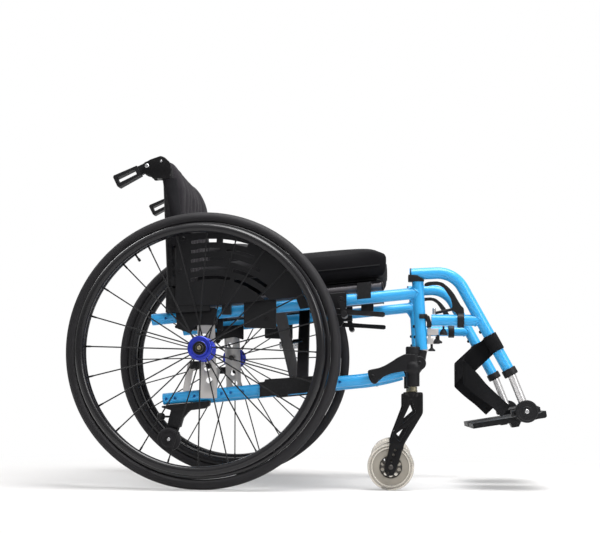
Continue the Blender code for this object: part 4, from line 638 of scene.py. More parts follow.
# %% [markdown]
# The tyre is slim: a round crown with two fine grooves, short slanting cuts on its shoulders and a
# step where the sidewall meets the rim. Its sidewall is bare. The profile is a formula, the
# grooves are small dips in its radius, and the lowest points are pressed level on the floor.

# %% Tyre
def tyre_profile():
    """Round section with two shoulder grooves and a bead seat."""
    centre = WHEEL_R - TYRE_R
    points = []
    steps = 44
    for i in range(steps + 1):
        angle = radians(-138 + 276 * i / steps)
        groove = 0.00055 if abs(abs(angle) - radians(42)) < radians(3.5) else 0.0
        bead = 0.0005 if abs(angle) > radians(112) else 0.0
        r = TYRE_R - groove - bead
        points.append((centre + r * cos(angle), r * sin(angle)))
    return points


def tread_cuts(bm, place):
    """Press short slanting cuts into the shoulders of the tread."""
    inverse = place.inverted()
    for vert in bm.verts:
        local = inverse @ vert.co
        r = (local.x ** 2 + local.y ** 2) ** 0.5
        if r > WHEEL_R - 0.0045 and abs(local.z) > 0.0038:
            turn = atan2(local.y, local.x) + local.z * 2.2
            if int(turn * 72 / pi) % 2:
                vert.co += (place.to_3x3() @ Vector((-local.x, -local.y, 0)).normalized()) * 0.0004
    return bm


def level_at_floor(bm):
    """Press the contact patch level with the floor."""
    for vert in bm.verts:
        vert.co.z = max(vert.co.z, 0.0)
    return bm


for name in SIDES:
    place = wheel_place(name)
    rubber = tread_cuts(lathe(tyre_profile(), 288, place), place)
    keep("tyre_tread_" + name, level_at_floor(rubber), "rear_wheel_" + name, "tyre_rubber",
         ("tyre_" + name,), 50)


# %% Rim with its nipples and valve
VALVE_AT = radians(126.4)
NOSE_R = 0.0065


def rim_profile():
    """Deep box rim: a round inner nose, flat flanks and a hooked edge beside the tyre."""
    nose = RIM_IN + NOSE_R
    points = [(nose - NOSE_R * cos(radians(a)), -RIM_HALF * sin(radians(a)) * 0.86)
              for a in range(-84, 85, 14)]
    points += [(nose + 0.004, -RIM_HALF * 0.96), (RIM_SEAT - 0.006, -RIM_HALF),
               (RIM_SEAT - 0.0012, -RIM_HALF), (RIM_SEAT, -RIM_HALF + 0.0014),
               (RIM_SEAT, RIM_HALF - 0.0014), (RIM_SEAT - 0.0012, RIM_HALF),
               (RIM_SEAT - 0.006, RIM_HALF), (nose + 0.004, RIM_HALF * 0.96)]
    return points


def radial(angle, radius, depth=0.0):
    """A point in the wheel's own axes."""
    return Vector((radius * cos(angle), radius * sin(angle), depth))


def wheel_rim(name):
    """The rim, the nipples that stand in it and the valve."""
    place, body = wheel_place(name), "rear_wheel_" + name
    keep("rim_hoop_" + name, lathe(rim_profile(), 192, place), body, "black_anodised",
         ("wheel_rim_" + name,), 50)
    nipples = []
    for index in range(SPOKES):
        angle = spoke_angle(index)
        spot = facing(radial(angle, RIM_IN - 0.0120), radial(angle, 1))
        nipples.append(turned(((0, 0), (0.0015, 0), (0.0021, 0.004), (0.0021, 0.0125), (0, 0.0125)),
                              0.0004, 12, place @ spot))
    keep("spoke_nipples_" + name, gathered(*nipples), body, "spoke_black")
    valve = facing(radial(VALVE_AT, RIM_IN - 0.0165), radial(VALVE_AT, 1))
    stem = turned(((0, 0), (0.0024, 0), (0.0030, 0.0012), (0.0030, 0.0065), (0.0022, 0.0070),
                   (0.0022, 0.0170), (0, 0.0170)), 0.0003, 20, place @ valve)
    keep("tyre_valve_" + name, stem, body, "spoke_black")


for name in SIDES:
    wheel_rim(name)


# %% Push rim
def handrim(name):
    """The black push rim on six welded tabs."""
    place, body = wheel_place(name), "rear_wheel_" + name
    circle = [(HANDRIM_R + HANDRIM_TUBE * cos(2 * pi * i / 24),
               HANDRIM_OUT + HANDRIM_TUBE * sin(2 * pi * i / 24)) for i in range(24)]
    keep("push_rim_" + name, lathe(circle, 192, place), body, "black_anodised",
         ("handrim_" + name,), 60)
    tabs = []
    for i in range(6):
        angle = spoke_angle(0) + radians(7.5) + pi / 3 * i
        low = radial(angle, HANDRIM_R + 0.005, RIM_HALF + GAP)
        reach = HANDRIM_OUT - 0.004 - RIM_HALF
        tabs.append(turned(((0, 0), (0.0062, 0), (0.0062, 0.0022), (0.0036, 0.0050), (0.0036, reach),
                            (0, reach)), 0.0006, 20, place @ facing(low, Vector((0, 0, 1)))))
    keep("push_rim_tabs_" + name, gathered(*tabs), body, "black_anodised")


for name in SIDES:
    handrim(name)

# %% [markdown]
# The spokes leave the hub in pairs, one from each flange, and spread to their places on the
# rim. Each is a thin pipe with a short crank at the flange. The hub is turned from bar and
# anodised cobalt blue, with two wide flanges, a dished outer face and a fine groove.

# %% Spokes and hub
def spokes(name):
    """24 straight spokes."""
    place = wheel_place(name)
    bars = []
    for index in range(SPOKES):
        first = index - index % 2
        pair = (spoke_angle(first) + spoke_angle(first + 1)) / 2
        outer = index % 2 == 0
        depth = HUB_OUT - 0.0045 if outer else -(HUB_IN - 0.006)
        angle = spoke_angle(index)
        foot = radial(pair, FLANGE_R - 0.005, depth)
        tip = radial(angle, RIM_IN - 0.004, 0.0)
        lift = foot + (tip - foot).normalized() * 0.004 + Vector((0, 0, 0.0006 if outer else -0.0006))
        bars.append(pipe([place @ foot, place @ lift, place @ tip], 0.0015, 10))
    return gathered(*bars)


def hub_shell(place):
    """Turned shell with two flanges, dished outer face and grooves."""
    bore = 0.0070
    profile = ((bore, -HUB_IN), (0.0140, -HUB_IN), (0.0200, -HUB_IN + 0.0015),
               (FLANGE_R, -HUB_IN + 0.004), (FLANGE_R, -HUB_IN + 0.008), (0.0190, -HUB_IN + 0.011),
               (0.0150, -HUB_IN + 0.016), (0.0145, 0.0060), (0.0165, HUB_OUT - 0.020),
               (0.0215, HUB_OUT - 0.0110), (FLANGE_R, HUB_OUT - 0.0085), (FLANGE_R, HUB_OUT - 0.0028), (0.0240, HUB_OUT - 0.0006),
               (0.0195, HUB_OUT), (0.0178, HUB_OUT - 0.0018), (0.0152, HUB_OUT - 0.0014),
               (0.0138, HUB_OUT), (0.0128, HUB_OUT - 0.0005), (0.0126, HUB_OUT - 0.0050),
               (bore, HUB_OUT - 0.0050))
    return turned(profile, 0.0008, 96, place)


def axle_end(name):
    """Black bearing cover, the axle's dark head with a recess, and the release button in it."""
    place, wheel, frame_body = wheel_place(name), "rear_wheel_" + name, name + "_frame"
    cover = ((0.0098, 0.0385), (0.0124, 0.0385), (0.0124, 0.0432), (0.0146, 0.0442), (0.0138, 0.0449),
             (0.0108, 0.0446), (0.0098, 0.0440))
    keep("bearing_cover_" + name, turned(cover, 0.0003, 48, place), wheel, "moulded_black")
    head = 0.0403
    top = head + 0.0075
    sleeve = ((0.0049, head + 0.001), (0.0093, head), (0.0093, top - 0.0010), (0.0086, top),
              (0.0068, top), (0.0060, top - 0.0022), (0.0049, top - 0.0022))
    tip = -(WHEEL_Y - FRAME_Y)
    shank = ((0, tip - 0.0025), (0.0055, tip - 0.0025), (0.0063, tip), (0.0063, head), (0.0090, head),
             (0.0090, head + 0.0012), (0, head + 0.0012))
    parts = gathered(turned(sleeve, 0.0003, 48, place), turned(shank, 0.0003, 32, place))
    keep("axle_shaft_" + name, parts, frame_body, "dark_steel", ("quick_release_axle_" + name,))
    button = ((0, 0.0335), (0.0044, 0.0335), (0.0044, 0.0512), (0.0036, 0.0522), (0.0026, 0.0518),
              (0.0022, 0.0508), (0, 0.0508))
    keep("axle_button_" + name, turned(button, 0.0003, 32, place), "release_button_" + name,
         "brass", ("release_button_" + name,))


for name in SIDES:
    place = wheel_place(name)
    keep("spokes_" + name, spokes(name), "rear_wheel_" + name, "spoke_black")
    keep("hub_" + name, hub_shell(place), "rear_wheel_" + name, "cobalt_anodised",
         ("hub_and_spokes_" + name,), 30)
    axle_end(name)

# %% [markdown]
# ## Side frames
#
# Two straight 25 mm tubes, a front post and a gusset, welded and powder coated in azure. Each
# weld is a bead that runs where the two cylinders meet. That line has a simple formula, so the
# bead is a thin pipe along it.

# %% Bent paths and weld beads
def swept(start, headings, step):
    """Points of a path in the side view that turns a little at each step."""
    points = [Vector(start)]
    for heading in headings:
        points.append(points[-1] + Vector((cos(heading), sin(heading))) * step)
    return points


def side_points(points, y):
    """Side-view points as points of the frame."""
    return [at(p[0], y, p[1]) for p in points]


def weld_bead(point, along, post, radius, size=0.0019):
    """A bead where a tube along one direction ends on a tube of the same radius."""
    along, post = along.normalized(), post.normalized()
    side = along.cross(post).normalized()
    upright = along.cross(side).normalized()
    path = []
    for i in range(41):
        angle = 2 * pi * i / 40
        path.append(point + side * radius * cos(angle) + upright * radius * sin(angle)
                    + along * radius * abs(sin(angle)))
    return pipe(path, size, 8)


def plug(point, direction, radius):
    """A moulded plug in the end of a tube."""
    edge = radius - 0.0002
    profile = ((0, 0), (edge, 0), (edge, 0.0022), (radius - 0.0022, 0.0034), (0, 0.0034))
    return turned(profile, 0.0006, 32, facing(point - direction.normalized() * 0.0030, direction))


# %% Upper frame and lower tube
POST_TOP, POST_FOOT_Z = Vector((0.4574, 0.4452)), 0.2985
POST_UP = (at(POST_TOP.x, 0, POST_TOP.y) - at(post_x(POST_FOOT_Z), 0, POST_FOOT_Z)).normalized()
TOP_REAR, TOP_HOLE = -0.1215, -0.0895
LOWER_HOLES = (-0.0850, -0.0660, -0.0240, 0.0350, 0.0550, 0.0810, 0.2900)
HOLE_R, OUTER_WALL = 0.0034, -0.004


def hole_cutters(spots, y, radius, inner=0.02):
    """Cutters for a row of cross holes. A negative inner reach leaves the inner wall whole."""
    out = 0.02 if y > 0 else -0.02
    return gathered(*[pipe([at(x, y - out * inner / 0.02, z), at(x, y + out, z)], radius, 16)
                      for x, z in spots])


def upper_frame(name):
    """Top tube, post, gusset and their welds."""
    y, body = SIDES[name] * FRAME_Y, name + "_frame"
    foot = Vector((post_x(POST_FOOT_Z), POST_FOOT_Z))
    joint_z = top_z(0.455)
    start = at(TOP_REAR, y, top_z(TOP_REAR))
    corner = at(post_x(joint_z), y, joint_z)
    top = cut(pipe([start, corner], TUBE),
              hole_cutters([(TOP_HOLE, top_z(TOP_HOLE))], y, HOLE_R, OUTER_WALL))
    post = pipe(side_points([POST_TOP, foot], y), TUBE)
    down = at(foot.x, y, foot.y) - at(POST_TOP.x, y, POST_TOP.y)
    low = 0.3860
    gusset = [(0.4360, top_z(0.4360) - TUBE * 0.7), (0.4425, top_z(0.4425) - TUBE - 0.0045),
              (post_x(low) - TUBE * 0.7, low), (post_x(low), low), (0.458, top_z(0.458))]
    web = plate(gusset, y - 0.003, y + 0.003)
    bead = weld_bead(corner, start - corner, down, TUBE)
    keep("frame_top_" + name, gathered(top, post, web, bead), body, "azure_powder_coat",
         ("upper_frame_" + name,))
    keep("top_tube_plug_" + name, plug(start, start - corner, TUBE), body, "moulded_black")
    for i, z in enumerate((0.3486, 0.3260)):
        spot = at(post_x(z) - TUBE + 0.0004, y, z)
        screw(f"post_screw_{i + 1}_{name}", spot, Vector((-1, 0, 0)), 0.0034, 0.0040, body,
              "moulded_black")


def lower_points():
    """The lower tube: straight, then one wide bend up to the caster housing."""
    steps = 14
    bend = [TILT + radians(12) * (i + 0.5) / steps for i in range(steps)]
    return [Vector((-0.0935, low_z(-0.0935)))] + swept((0.330, low_z(0.330)), bend, 0.099 / steps)


def lower_tube(name):
    """The lower tube with its row of holes and its plug."""
    y, body = SIDES[name] * FRAME_Y, name + "_frame"
    path = side_points(lower_points(), y)
    holes = hole_cutters([(x, low_z(x)) for x in LOWER_HOLES], y, HOLE_R, OUTER_WALL)
    keep("frame_bottom_" + name, cut(pipe(path, TUBE), holes), body, "azure_powder_coat",
         ("lower_tube_" + name,))
    keep("lower_tube_plug_" + name, plug(path[0], path[0] - path[1], TUBE), body, "moulded_black")


for name in SIDES:
    upper_frame(name)
    lower_tube(name)

# %% [markdown]
# The side guard, the clips, the bearings, the brakes, the footplates and the handles already have
# the right outline as solids. For those a merged copy with rounded edges is enough. The axle plate
# and the clamps get outlines of their own, and bolts sit where the real chair has them.

# %% Plates, guards and clips
ROUNDED_COPIES = (  # solid, shown as, finish, edge radius, steps, whether it moves by itself
    ("side_guard", "guard_panel", "moulded_black", 0.0007, 2, False),
    ("brace_bearing", "hinge_bearing", "moulded_black", 0.0008, 2, False),
    ("seat_rail_cradle", "rail_clip", "moulded_black", 0.0012, 2, False),
    ("brake_mount", "brake_clamp", "black_casting", 0.0009, 2, False),
    ("brake_lever", "brake_handle", "black_casting", 0.0016, 3, True),
    ("brake_shoe", "brake_arm", "black_casting", 0.0008, 2, True),
    ("footplate", "foot_board", "moulded_black", 0.0014, 3, True),
    ("push_handle", "handle_loop", "moulded_black", 0.0020, 3, True))
AXLE_STRAP = [(-0.0218, 0.3780), (0.0171, 0.3820), (0.0264, 0.1910), (-0.0103, 0.1907)]
AXLE_STRAP_HOLES = ((-0.0049, 0.3240), (0.0036, 0.2561), (0.0085, 0.2298))
AXLE_STAY = [(-0.0402, 0.2690), (-0.0254, 0.2690), (-0.0368, 0.2061), (-0.0514, 0.2060)]
GUARD_SCREWS = ((-0.0515, 0.5349), (-0.0568, 0.4650), (0.0450, 0.3900), (0.2150, 0.4080))
GUARD_TAB = [(-0.0660, 0.3740), (0.0100, 0.3790), (0.0100, 0.4000), (-0.0660, 0.4050)]
CANE_CLAMP = [(-0.0360, 0.3714), (0.0325, 0.3749), (0.0330, 0.3373), (0.0100, 0.3450),
              (-0.0331, 0.3370)]
GUARD_CLAMP = [(0.0822, 0.3990), (0.1522, 0.4060), (0.1530, 0.3411), (0.0829, 0.3435)]


def axle_plate(name):
    """A strap with holes for the axle, a stay behind it and the axle's receiver."""
    side, body = SIDES[name], name + "_frame"
    holes = gathered(*[pipe([at(x, side * 0.21, z), at(x, side * 0.24, z)], 0.0070, 40)
                       for x, z in AXLE_STRAP_HOLES])
    strap = cut(slab(AXLE_STRAP, 0.003, side * 0.2208, side * 0.2256, 0), holes)
    stay = slab(AXLE_STAY, 0.002, side * 0.2085, side * 0.2125)
    keep("axle_bracket_" + name, gathered(soften(strap, 0.0006, 2, 60), stay), body, "plate_aluminium",
         ("axle_plate_" + name,))
    boss = ((0.0068, -0.0462), (0.0150, -0.0462), (0.0150, -0.0312), (0.0068, -0.0312))
    keep("axle_receiver_" + name, turned(boss, 0.0008, 40, wheel_place(name)), body, "moulded_black")


def rounded_copies(name):
    """The fittings whose solids only need their edges rounded."""
    for solid, shown, look, edge, segments, moves in ROUNDED_COPIES:
        body = f"{solid}_{name}" if moves else name + "_frame"
        refined(f"{solid}_{name}", f"{shown}_{name}", body, look, edge, segments)


def frame_fittings(name):
    """Screws, clamps and the guard's tab."""
    side, body = SIDES[name], name + "_frame"
    out = Vector((0, side, 0))
    for i, (x, z) in enumerate(GUARD_SCREWS):
        screw(f"guard_screw_{i + 1}_{name}", at(x, side * 0.2410, z), out, 0.0052, 0.0030, body,
              "black_casting")
    screw("bracket_screw_" + name, at(-0.0494, side * 0.2257, 0.3396), out, 0.0045, 0.0030, body,
          "black_casting")
    stop = brick(at(-0.0323, side * 0.2255, 0.2535), at(-0.0125, side * 0.2360, 0.2705), 0.0015)
    keep("axle_stop_" + name, stop, body, "moulded_black")
    keep("guard_tab_" + name, slab(GUARD_TAB, 0.003, side * 0.2350, side * 0.2388), body,
         "moulded_black")
    keep("cane_clamp_" + name, slab(CANE_CLAMP, 0.004, side * 0.1922, side * 0.1952), body,
         "black_casting")
    keep("guard_clamp_" + name, slab(GUARD_CLAMP, 0.004, side * 0.2212, side * 0.2330, 0.0015), body,
         "moulded_black")
    screw("guard_clamp_bolt_" + name, at(0.1330, side * 0.2327, 0.3630), out, 0.0050, 0.0030, body,
          "black_casting")
    screw("axle_plate_bolt_" + name, at(0.0074, side * 0.2257, 0.2600), out, 0.0060, 0.0050, body,
          "black_casting")


for name in SIDES:
    axle_plate(name)
    rounded_copies(name)
    frame_fittings(name)
refined("anti_tip_knob", "tipper_knob", "anti_tip_knob", "moulded_black", 0.0010)


# %% Back canes with the handle's bracket
CANE_FOOT = [(-0.0682, 0.3860), (0.0225, 0.3860), (0.0252, 0.3489), (-0.0212, 0.3487),
             (-0.0344, 0.3290), (-0.0456, 0.3350), (-0.0621, 0.3400)]
CANE_BRIDGE = [(-0.0682, 0.3420), (-0.0240, 0.3380), (-0.0240, 0.3480), (-0.0682, 0.3480)]
HANDLE_CHEEK = [(-0.1477, 0.7045), (-0.1428, 0.7084), (-0.1306, 0.7155), (-0.1080, 0.7232),
                (-0.0990, 0.7196), (-0.0880, 0.7094), (-0.0846, 0.6990), (-0.0846, 0.6740),
                (-0.0974, 0.6712), (-0.1123, 0.6725), (-0.1246, 0.6713), (-0.1300, 0.6792),
                (-0.1400, 0.6814), (-0.1470, 0.6860)]
HANDLE_BLOCK = [(-0.1180, 0.7190), (-0.1080, 0.7225), (-0.0990, 0.7190), (-0.0920, 0.7090),
                (-0.0900, 0.6985), (-0.0900, 0.6745), (-0.1180, 0.6725)]
CHEEKS = ((0.0097, 0.0135, 0), (-0.0135, -0.0097, -0.0960))


def back_post(name):
    """A round cane in its foot clamp, and a two-cheeked bracket for the push handle."""
    side, body = SIDES[name], name + "_frame"
    y = side * FRAME_Y
    pivot = Vector(joints["push_handle_fold_" + name]["pos_m"])
    foot = slab(CANE_FOOT, 0.003, side * 0.2260, side * 0.2305, 0.0010)
    bridge = slab(CANE_BRIDGE, 0.002, side * 0.1950, side * 0.2265, 0, 2)
    socket = pipe([at(cane_x(z), y, z) for z in (0.3740, 0.4320)], 0.0142, 32)
    lug = brick(at(-0.0890, y, 0.3750), at(-0.0660, side * 0.2300, 0.4300), 0.0020)
    cane = pipe([at(cane_x(z), y, z) for z in (0.3760, 0.6980)], 0.0110)
    keep("back_post_" + name, gathered(foot, bridge, socket, lug, cane), body, "black_casting",
         ("back_cane_" + name,))
    sides = [slab([(min(x, front), z) for x, z in HANDLE_CHEEK], 0.003, y + side * low,
                  y + side * high, 0.0010) for low, high, front in CHEEKS]
    block = slab(HANDLE_BLOCK, 0.003, y - 0.0098, y + 0.0098, 0)
    keep("handle_bracket_" + name, gathered(*sides, block), body, "fork_black")
    for label, spot, size in (("pivot", pivot, 0.0048), ("lock", at(-0.1069, 0, 0.7110), 0.0030)):
        face = Vector((spot.x, y + side * 0.0133, spot.z))
        screw(f"handle_{label}_bolt_{name}", face, Vector((0, side, 0)), size, 0.0024, body)


for name in SIDES:
    back_post(name)

# %% Anti-tip leg and wheel
TIPPER_PEDAL = [(0.0085, 0.1755), (-0.0022, 0.1690), (-0.0309, 0.1650), (-0.0740, 0.1640),
                (-0.0780, 0.1655), (-0.0950, 0.1700), (-0.0955, 0.1735), (-0.0870, 0.1745)]
TIPPER_LEG = [(-0.0746, 0.1670), (-0.0309, 0.1670), (-0.0388, 0.1600), (-0.0484, 0.1483),
              (-0.0541, 0.1278), (-0.0835, 0.1287), (-0.0790, 0.1480)]


def tipper_leg():
    """Plate under the lower tube with a foot pedal, and a slim leg with the axle."""
    hub = Vector(joints["anti_tip_wheel_spin"]["pos_m"])
    axle = (hub.x - AXLE.x, hub.z)
    under = [(x, low_z(x) - TUBE - 0.0006) for x in (-0.0800, 0.0097)]
    tongue = [(-0.0835, 0.1320), (-0.0560, 0.1320), (axle[0] + 0.0090, axle[1] - 0.0040),
              (axle[0] - 0.0080, axle[1] - 0.0040)]
    y = -FRAME_Y
    parts = gathered(slab(under + TIPPER_PEDAL, 0.0015, y - 0.0110, y + 0.0110, 0.0008, 2),
                     slab(TIPPER_LEG, 0.0020, y - 0.0095, y + 0.0095, 0.0012),
                     slab(tongue, 0.0015, y + 0.0040, y + 0.0090, 0.0006, 2),
                     pipe([hub + Vector((0, 0.0040, 0)), hub - Vector((0, 0.0245, 0))], 0.0033, 20))
    keep("tipper_leg", parts, "right_frame", "moulded_black", ("anti_tip_leg",))


def tipper_wheel():
    """A small rubber wheel with a hub face and fine rings."""
    joint = joints["anti_tip_wheel_spin"]
    centre = Vector(joint["pos_m"]) + Vector((0, -0.0055, 0))
    profile = ((0.0036, 0), (0.0215, 0), (0.0250, 0.0030), (0.0250, 0.0170), (0.0215, 0.0200),
               (0.0165, 0.0200), (0.0160, 0.0188), (0.0075, 0.0188), (0.0070, 0.0200),
               (0.0036, 0.0200))
    keep("tipper_tyre", turned(profile, 0.0012, 72, facing(centre, Vector((0, -1, 0)))),
         "anti_tip_wheel", "tyre_rubber", ("anti_tip_wheel",))
    screw("tipper_axle_head", centre + Vector((0, -0.0196, 0)), Vector((0, -1, 0)), 0.0042, 0.0030,
          "right_frame")


tipper_leg()
tipper_wheel()

# %% [markdown]
# ## Casters
#
# The caster housing is one black casting: a sleeve with a cap over the steering stem, a round
# eye under the front post and an arm that clamps the lower tube. Each is a simple closed body.
# Voxel remeshing melts them into one, and a few rounds of smoothing leave the soft inner
# corners that cast metal has.

# %% Caster housing
CASTER_X, EYE = 0.4465, (0.4600, 0.2690)
DOME = ((0, 0.2198), (0.0144, 0.2198), (0.0144, 0.2478), (0.0156, 0.2498), (0.0194, 0.2545),
        (0.0200, 0.2600), (0.0190, 0.2665), (0.0160, 0.2725), (0.0157, 0.2878), (0, 0.2878))
STEM_CAP = ((0, 0.2881), (0.0153, 0.2881), (0.0153, 0.3022), (0.0142, 0.3045), (0.0060, 0.3050),
            (0, 0.3050))
ARM = [(0.3497, 0.2514), (0.3532, 0.2543), (0.3745, 0.2587), (0.3863, 0.2635), (0.4005, 0.2719),
       (0.4147, 0.2814), (0.4301, 0.2890), (0.4500, 0.2890), (0.4500, 0.2520), (0.4336, 0.2520),
       (0.4194, 0.2507), (0.4005, 0.2471), (0.3840, 0.2399), (0.3734, 0.2304), (0.3687, 0.2244),
       (0.3604, 0.2244), (0.3557, 0.2302), (0.3521, 0.2397)]


def caster_housing(name):
    """Sleeve, eye and arm melted into one, with the stem's cap and the clamp's screw."""
    side, body = SIDES[name], name + "_frame"
    stem = Vector(joints["caster_swivel_" + name]["pos_m"])
    upright = Matrix.Translation((stem.x, stem.y, 0))
    foot = at(post_x(0.2980), side * FRAME_Y, 0.2980)
    eye = at(EYE[0], side * FRAME_Y, EYE[1])
    inner, outer = eye + Vector((0, -side * 0.0125, 0)), eye + Vector((0, side * 0.0230, 0))
    parts = [turned(DOME, 0.0008, 48, upright), pipe([foot, eye], 0.0122, 32),
             pipe([inner, outer], 0.0146, 40),
             slab(ARM, 0.004, side * 0.2212, side * 0.2330, 0.0022)]
    keep("caster_block_" + name, melted(gathered(*parts)), body, "black_casting",
         ("caster_housing_" + name,), 60)
    keep("stem_cap_" + name, turned(STEM_CAP, 0.0008, 48, upright), body, "moulded_black")
    out = Vector((0, side, 0))
    screw("housing_screw_" + name, at(0.3606, side * 0.2326, 0.2400), out, 0.0045, 0.0030, body,
          "black_casting")
    screw("eye_screw_" + name, eye + Vector((0, side * 0.0228, 0)), out, 0.0052, 0.0026, body,
          "black_casting")


for name in SIDES:
    caster_housing(name)

# %% [markdown]
# The fork's two plates have windows between their ribs and a row of holes for the axle. The
# caster wheels are clear grey polyurethane, moulded round a darker core with ten holes. A
# little transmission lets the light through. The steering stem ends in a brass collar.

# %% Fork
FORK_HALF, FORK_SKIN = 0.0190, 0.0040
FORK = [(0.4255, 0.2076), (0.4675, 0.2076), (0.4675, 0.1630), (0.4285, 0.0990), (0.4110, 0.0455),
        (0.4045, 0.0315), (0.3905, 0.0315), (0.3855, 0.0435), (0.3995, 0.1070), (0.4255, 0.1750)]
WINDOWS = [[(0.4440, 0.1890), (0.4530, 0.1655), (0.4185, 0.1350)],
           [(0.4415, 0.1425), (0.4060, 0.1160), (0.4190, 0.1020)]]
AXLE_HOLES = [(0.4088, 0.0856), (0.4049, 0.0751), (0.4006, 0.0623), (0.3935, 0.0375)]


def caster_fork(name):
    """Two windowed plates, the bridge, the stem and the axle bolt."""
    body = "caster_fork_" + name
    y = joints["caster_swivel_" + name]["pos_m"][1]
    centre = Vector(joints["caster_wheel_spin_" + name]["pos_m"])
    parts = []
    for sign in (-1, 1):
        inner, outer = y + sign * (FORK_HALF - FORK_SKIN), y + sign * FORK_HALF
        holes = [slab(window, 0.0020, y - 0.03, y + 0.03, 0) for window in WINDOWS]
        tool = gathered(*holes, hole_cutters(AXLE_HOLES, y + sign * 0.017, 0.0028))
        skin = cut(slab(FORK, 0.0050, inner, outer, 0, 4), tool)
        parts.append(soften(skin, 0.0006, 2, 50))
    parts.append(brick(at(0.4262, y - 0.0175, 0.2015), at(0.4668, y + 0.0175, 0.2074), 0.0015))
    parts.append(pipe([at(CASTER_X, y, 0.2050), at(CASTER_X, y, 0.2170)], 0.0058, 24))
    keep("fork_" + name, gathered(*parts), body, "fork_black", ("caster_fork_" + name,), 40)
    for sign in (-1, 1):
        spot = centre + Vector((0, sign * (FORK_HALF - 0.0002), 0))
        where = "outer" if sign == SIDES[name] else "inner"
        screw(f"fork_bolt_{where}_{name}", spot, Vector((0, sign, 0)), 0.0052, 0.0026, body,
              "dark_steel")
    ring = ((0, 0), (0.0090, 0), (0.0098, 0.0008), (0.0098, 0.0035), (0.0090, 0.0042),
            (0.0090, 0.0116), (0, 0.0116))
    keep("stem_collar_" + name,
         turned(ring, 0.0004, 40, facing(at(CASTER_X, y, 0.2079), Vector((0, 0, 1)))), body, "brass")


# %% Caster wheels
CASTER_TYRE = [(0.0388, 0.0118), (0.0405, 0.0126), (0.0450, 0.0120), (0.0478, 0.0100),
               (0.0497, 0.0052), (0.0500, 0.0018)]
CASTER_WEB = [(0.0240, 0.0095), (0.0370, 0.0098), (0.0386, 0.0112)]
CASTER_CORE = [(0.0112, 0.0128), (0.0134, 0.0128), (0.0142, 0.0070), (0.0222, 0.0066),
               (0.0228, 0.0104), (0.0238, 0.0104)]
CORE_HOLES, CORE_HOLE_R, CORE_HOLE_AT = 10, 0.0039, 0.0186


def ring_body(half, corner, steps, place):
    """A ring from half its profile, (radius, depth) from the middle plane outwards."""
    profile = [(r, -h) for r, h in half] + [(r, h) for r, h in reversed(half)]
    return lathe(rounded(profile, corner, 2), steps, place)


def caster_wheel(name):
    """Stepped tyre, core with holes, and a steel bearing."""
    centre = Vector(joints["caster_wheel_spin_" + name]["pos_m"])
    body = "caster_wheel_" + name
    place = facing(centre, Vector((0, 1, 0)))
    keep("caster_tyre_" + name, level_at_floor(ring_body(CASTER_TYRE, 0.0012, 96, place)), body,
         "clear_polyurethane", ("caster_wheel_" + name,), 50)
    keep("caster_web_" + name, ring_body(CASTER_WEB, 0.0012, 96, place), body, "clear_inner", (), 50)
    holes = []
    for i in range(CORE_HOLES):
        angle = pi * i / (CORE_HOLES // 2)
        spot = place @ Vector((CORE_HOLE_AT * cos(angle), CORE_HOLE_AT * sin(angle), 0))
        through = Vector((0, 0.02, 0))
        holes.append(pipe([spot - through, spot + through], CORE_HOLE_R, 20))
    core = cut(ring_body(CASTER_CORE, 0.0010, 72, place), gathered(*holes))
    keep("caster_core_" + name, core, body, "clear_core")
    bearing = ((0.0046, -0.0128), (0.0108, -0.0126), (0.0108, 0.0126), (0.0046, 0.0128))
    keep("caster_bearing_" + name, turned(bearing, 0.0005, 40, place), body, "turned_steel")


for name in SIDES:
    caster_fork(name)
    caster_wheel(name)

# %% [markdown]
# ## Hangers and footrests
#
# Each hanger is one tube bent through 64 degrees, with a level bar welded across, that hooks on
# the front post. A silver tube slides in its lower end and carries the footplate.

# %% Hanger tube
HANG_R = 0.0127
HANG_RISE, HANG_DROP = radians(2.8), radians(61.3)
HANG_REAR, HANG_END = Vector((0.4384, 0.4614)), Vector((0.6496, 0.2579))
BAR_Z = 0.3624
DROP = Vector((cos(HANG_DROP), -sin(HANG_DROP)))
DROP_WAY = Vector((DROP.x, 0, DROP.y))
SADDLE_SIDE = [(0.4366, 0.4600), (0.4569, 0.4585), (0.4715, 0.4475), (0.4702, 0.4454),
               (0.4366, 0.4454)]


def slant_x(z):
    """The slanting tube at a height."""
    return HANG_END.x - (z - HANG_END.y) / tan(HANG_DROP)


def hanger_points():
    """The hanger's middle line: level, bent, then down to the collar."""
    rise = Vector((cos(HANG_RISE), sin(HANG_RISE)))
    turn = HANG_RISE + HANG_DROP
    offset = HANG_END - HANG_REAR
    corner = HANG_REAR + rise * (offset.cross(DROP) / rise.cross(DROP))
    bend_r, steps = 0.060, 20
    start = corner - rise * bend_r * tan(turn / 2)
    headings = [HANG_RISE - turn * (i + 0.5) / steps for i in range(steps)]
    bend = swept(start, headings, 2 * bend_r * sin(turn / (2 * steps)))
    return [HANG_REAR + rise * 0.0016] + bend + [HANG_END]


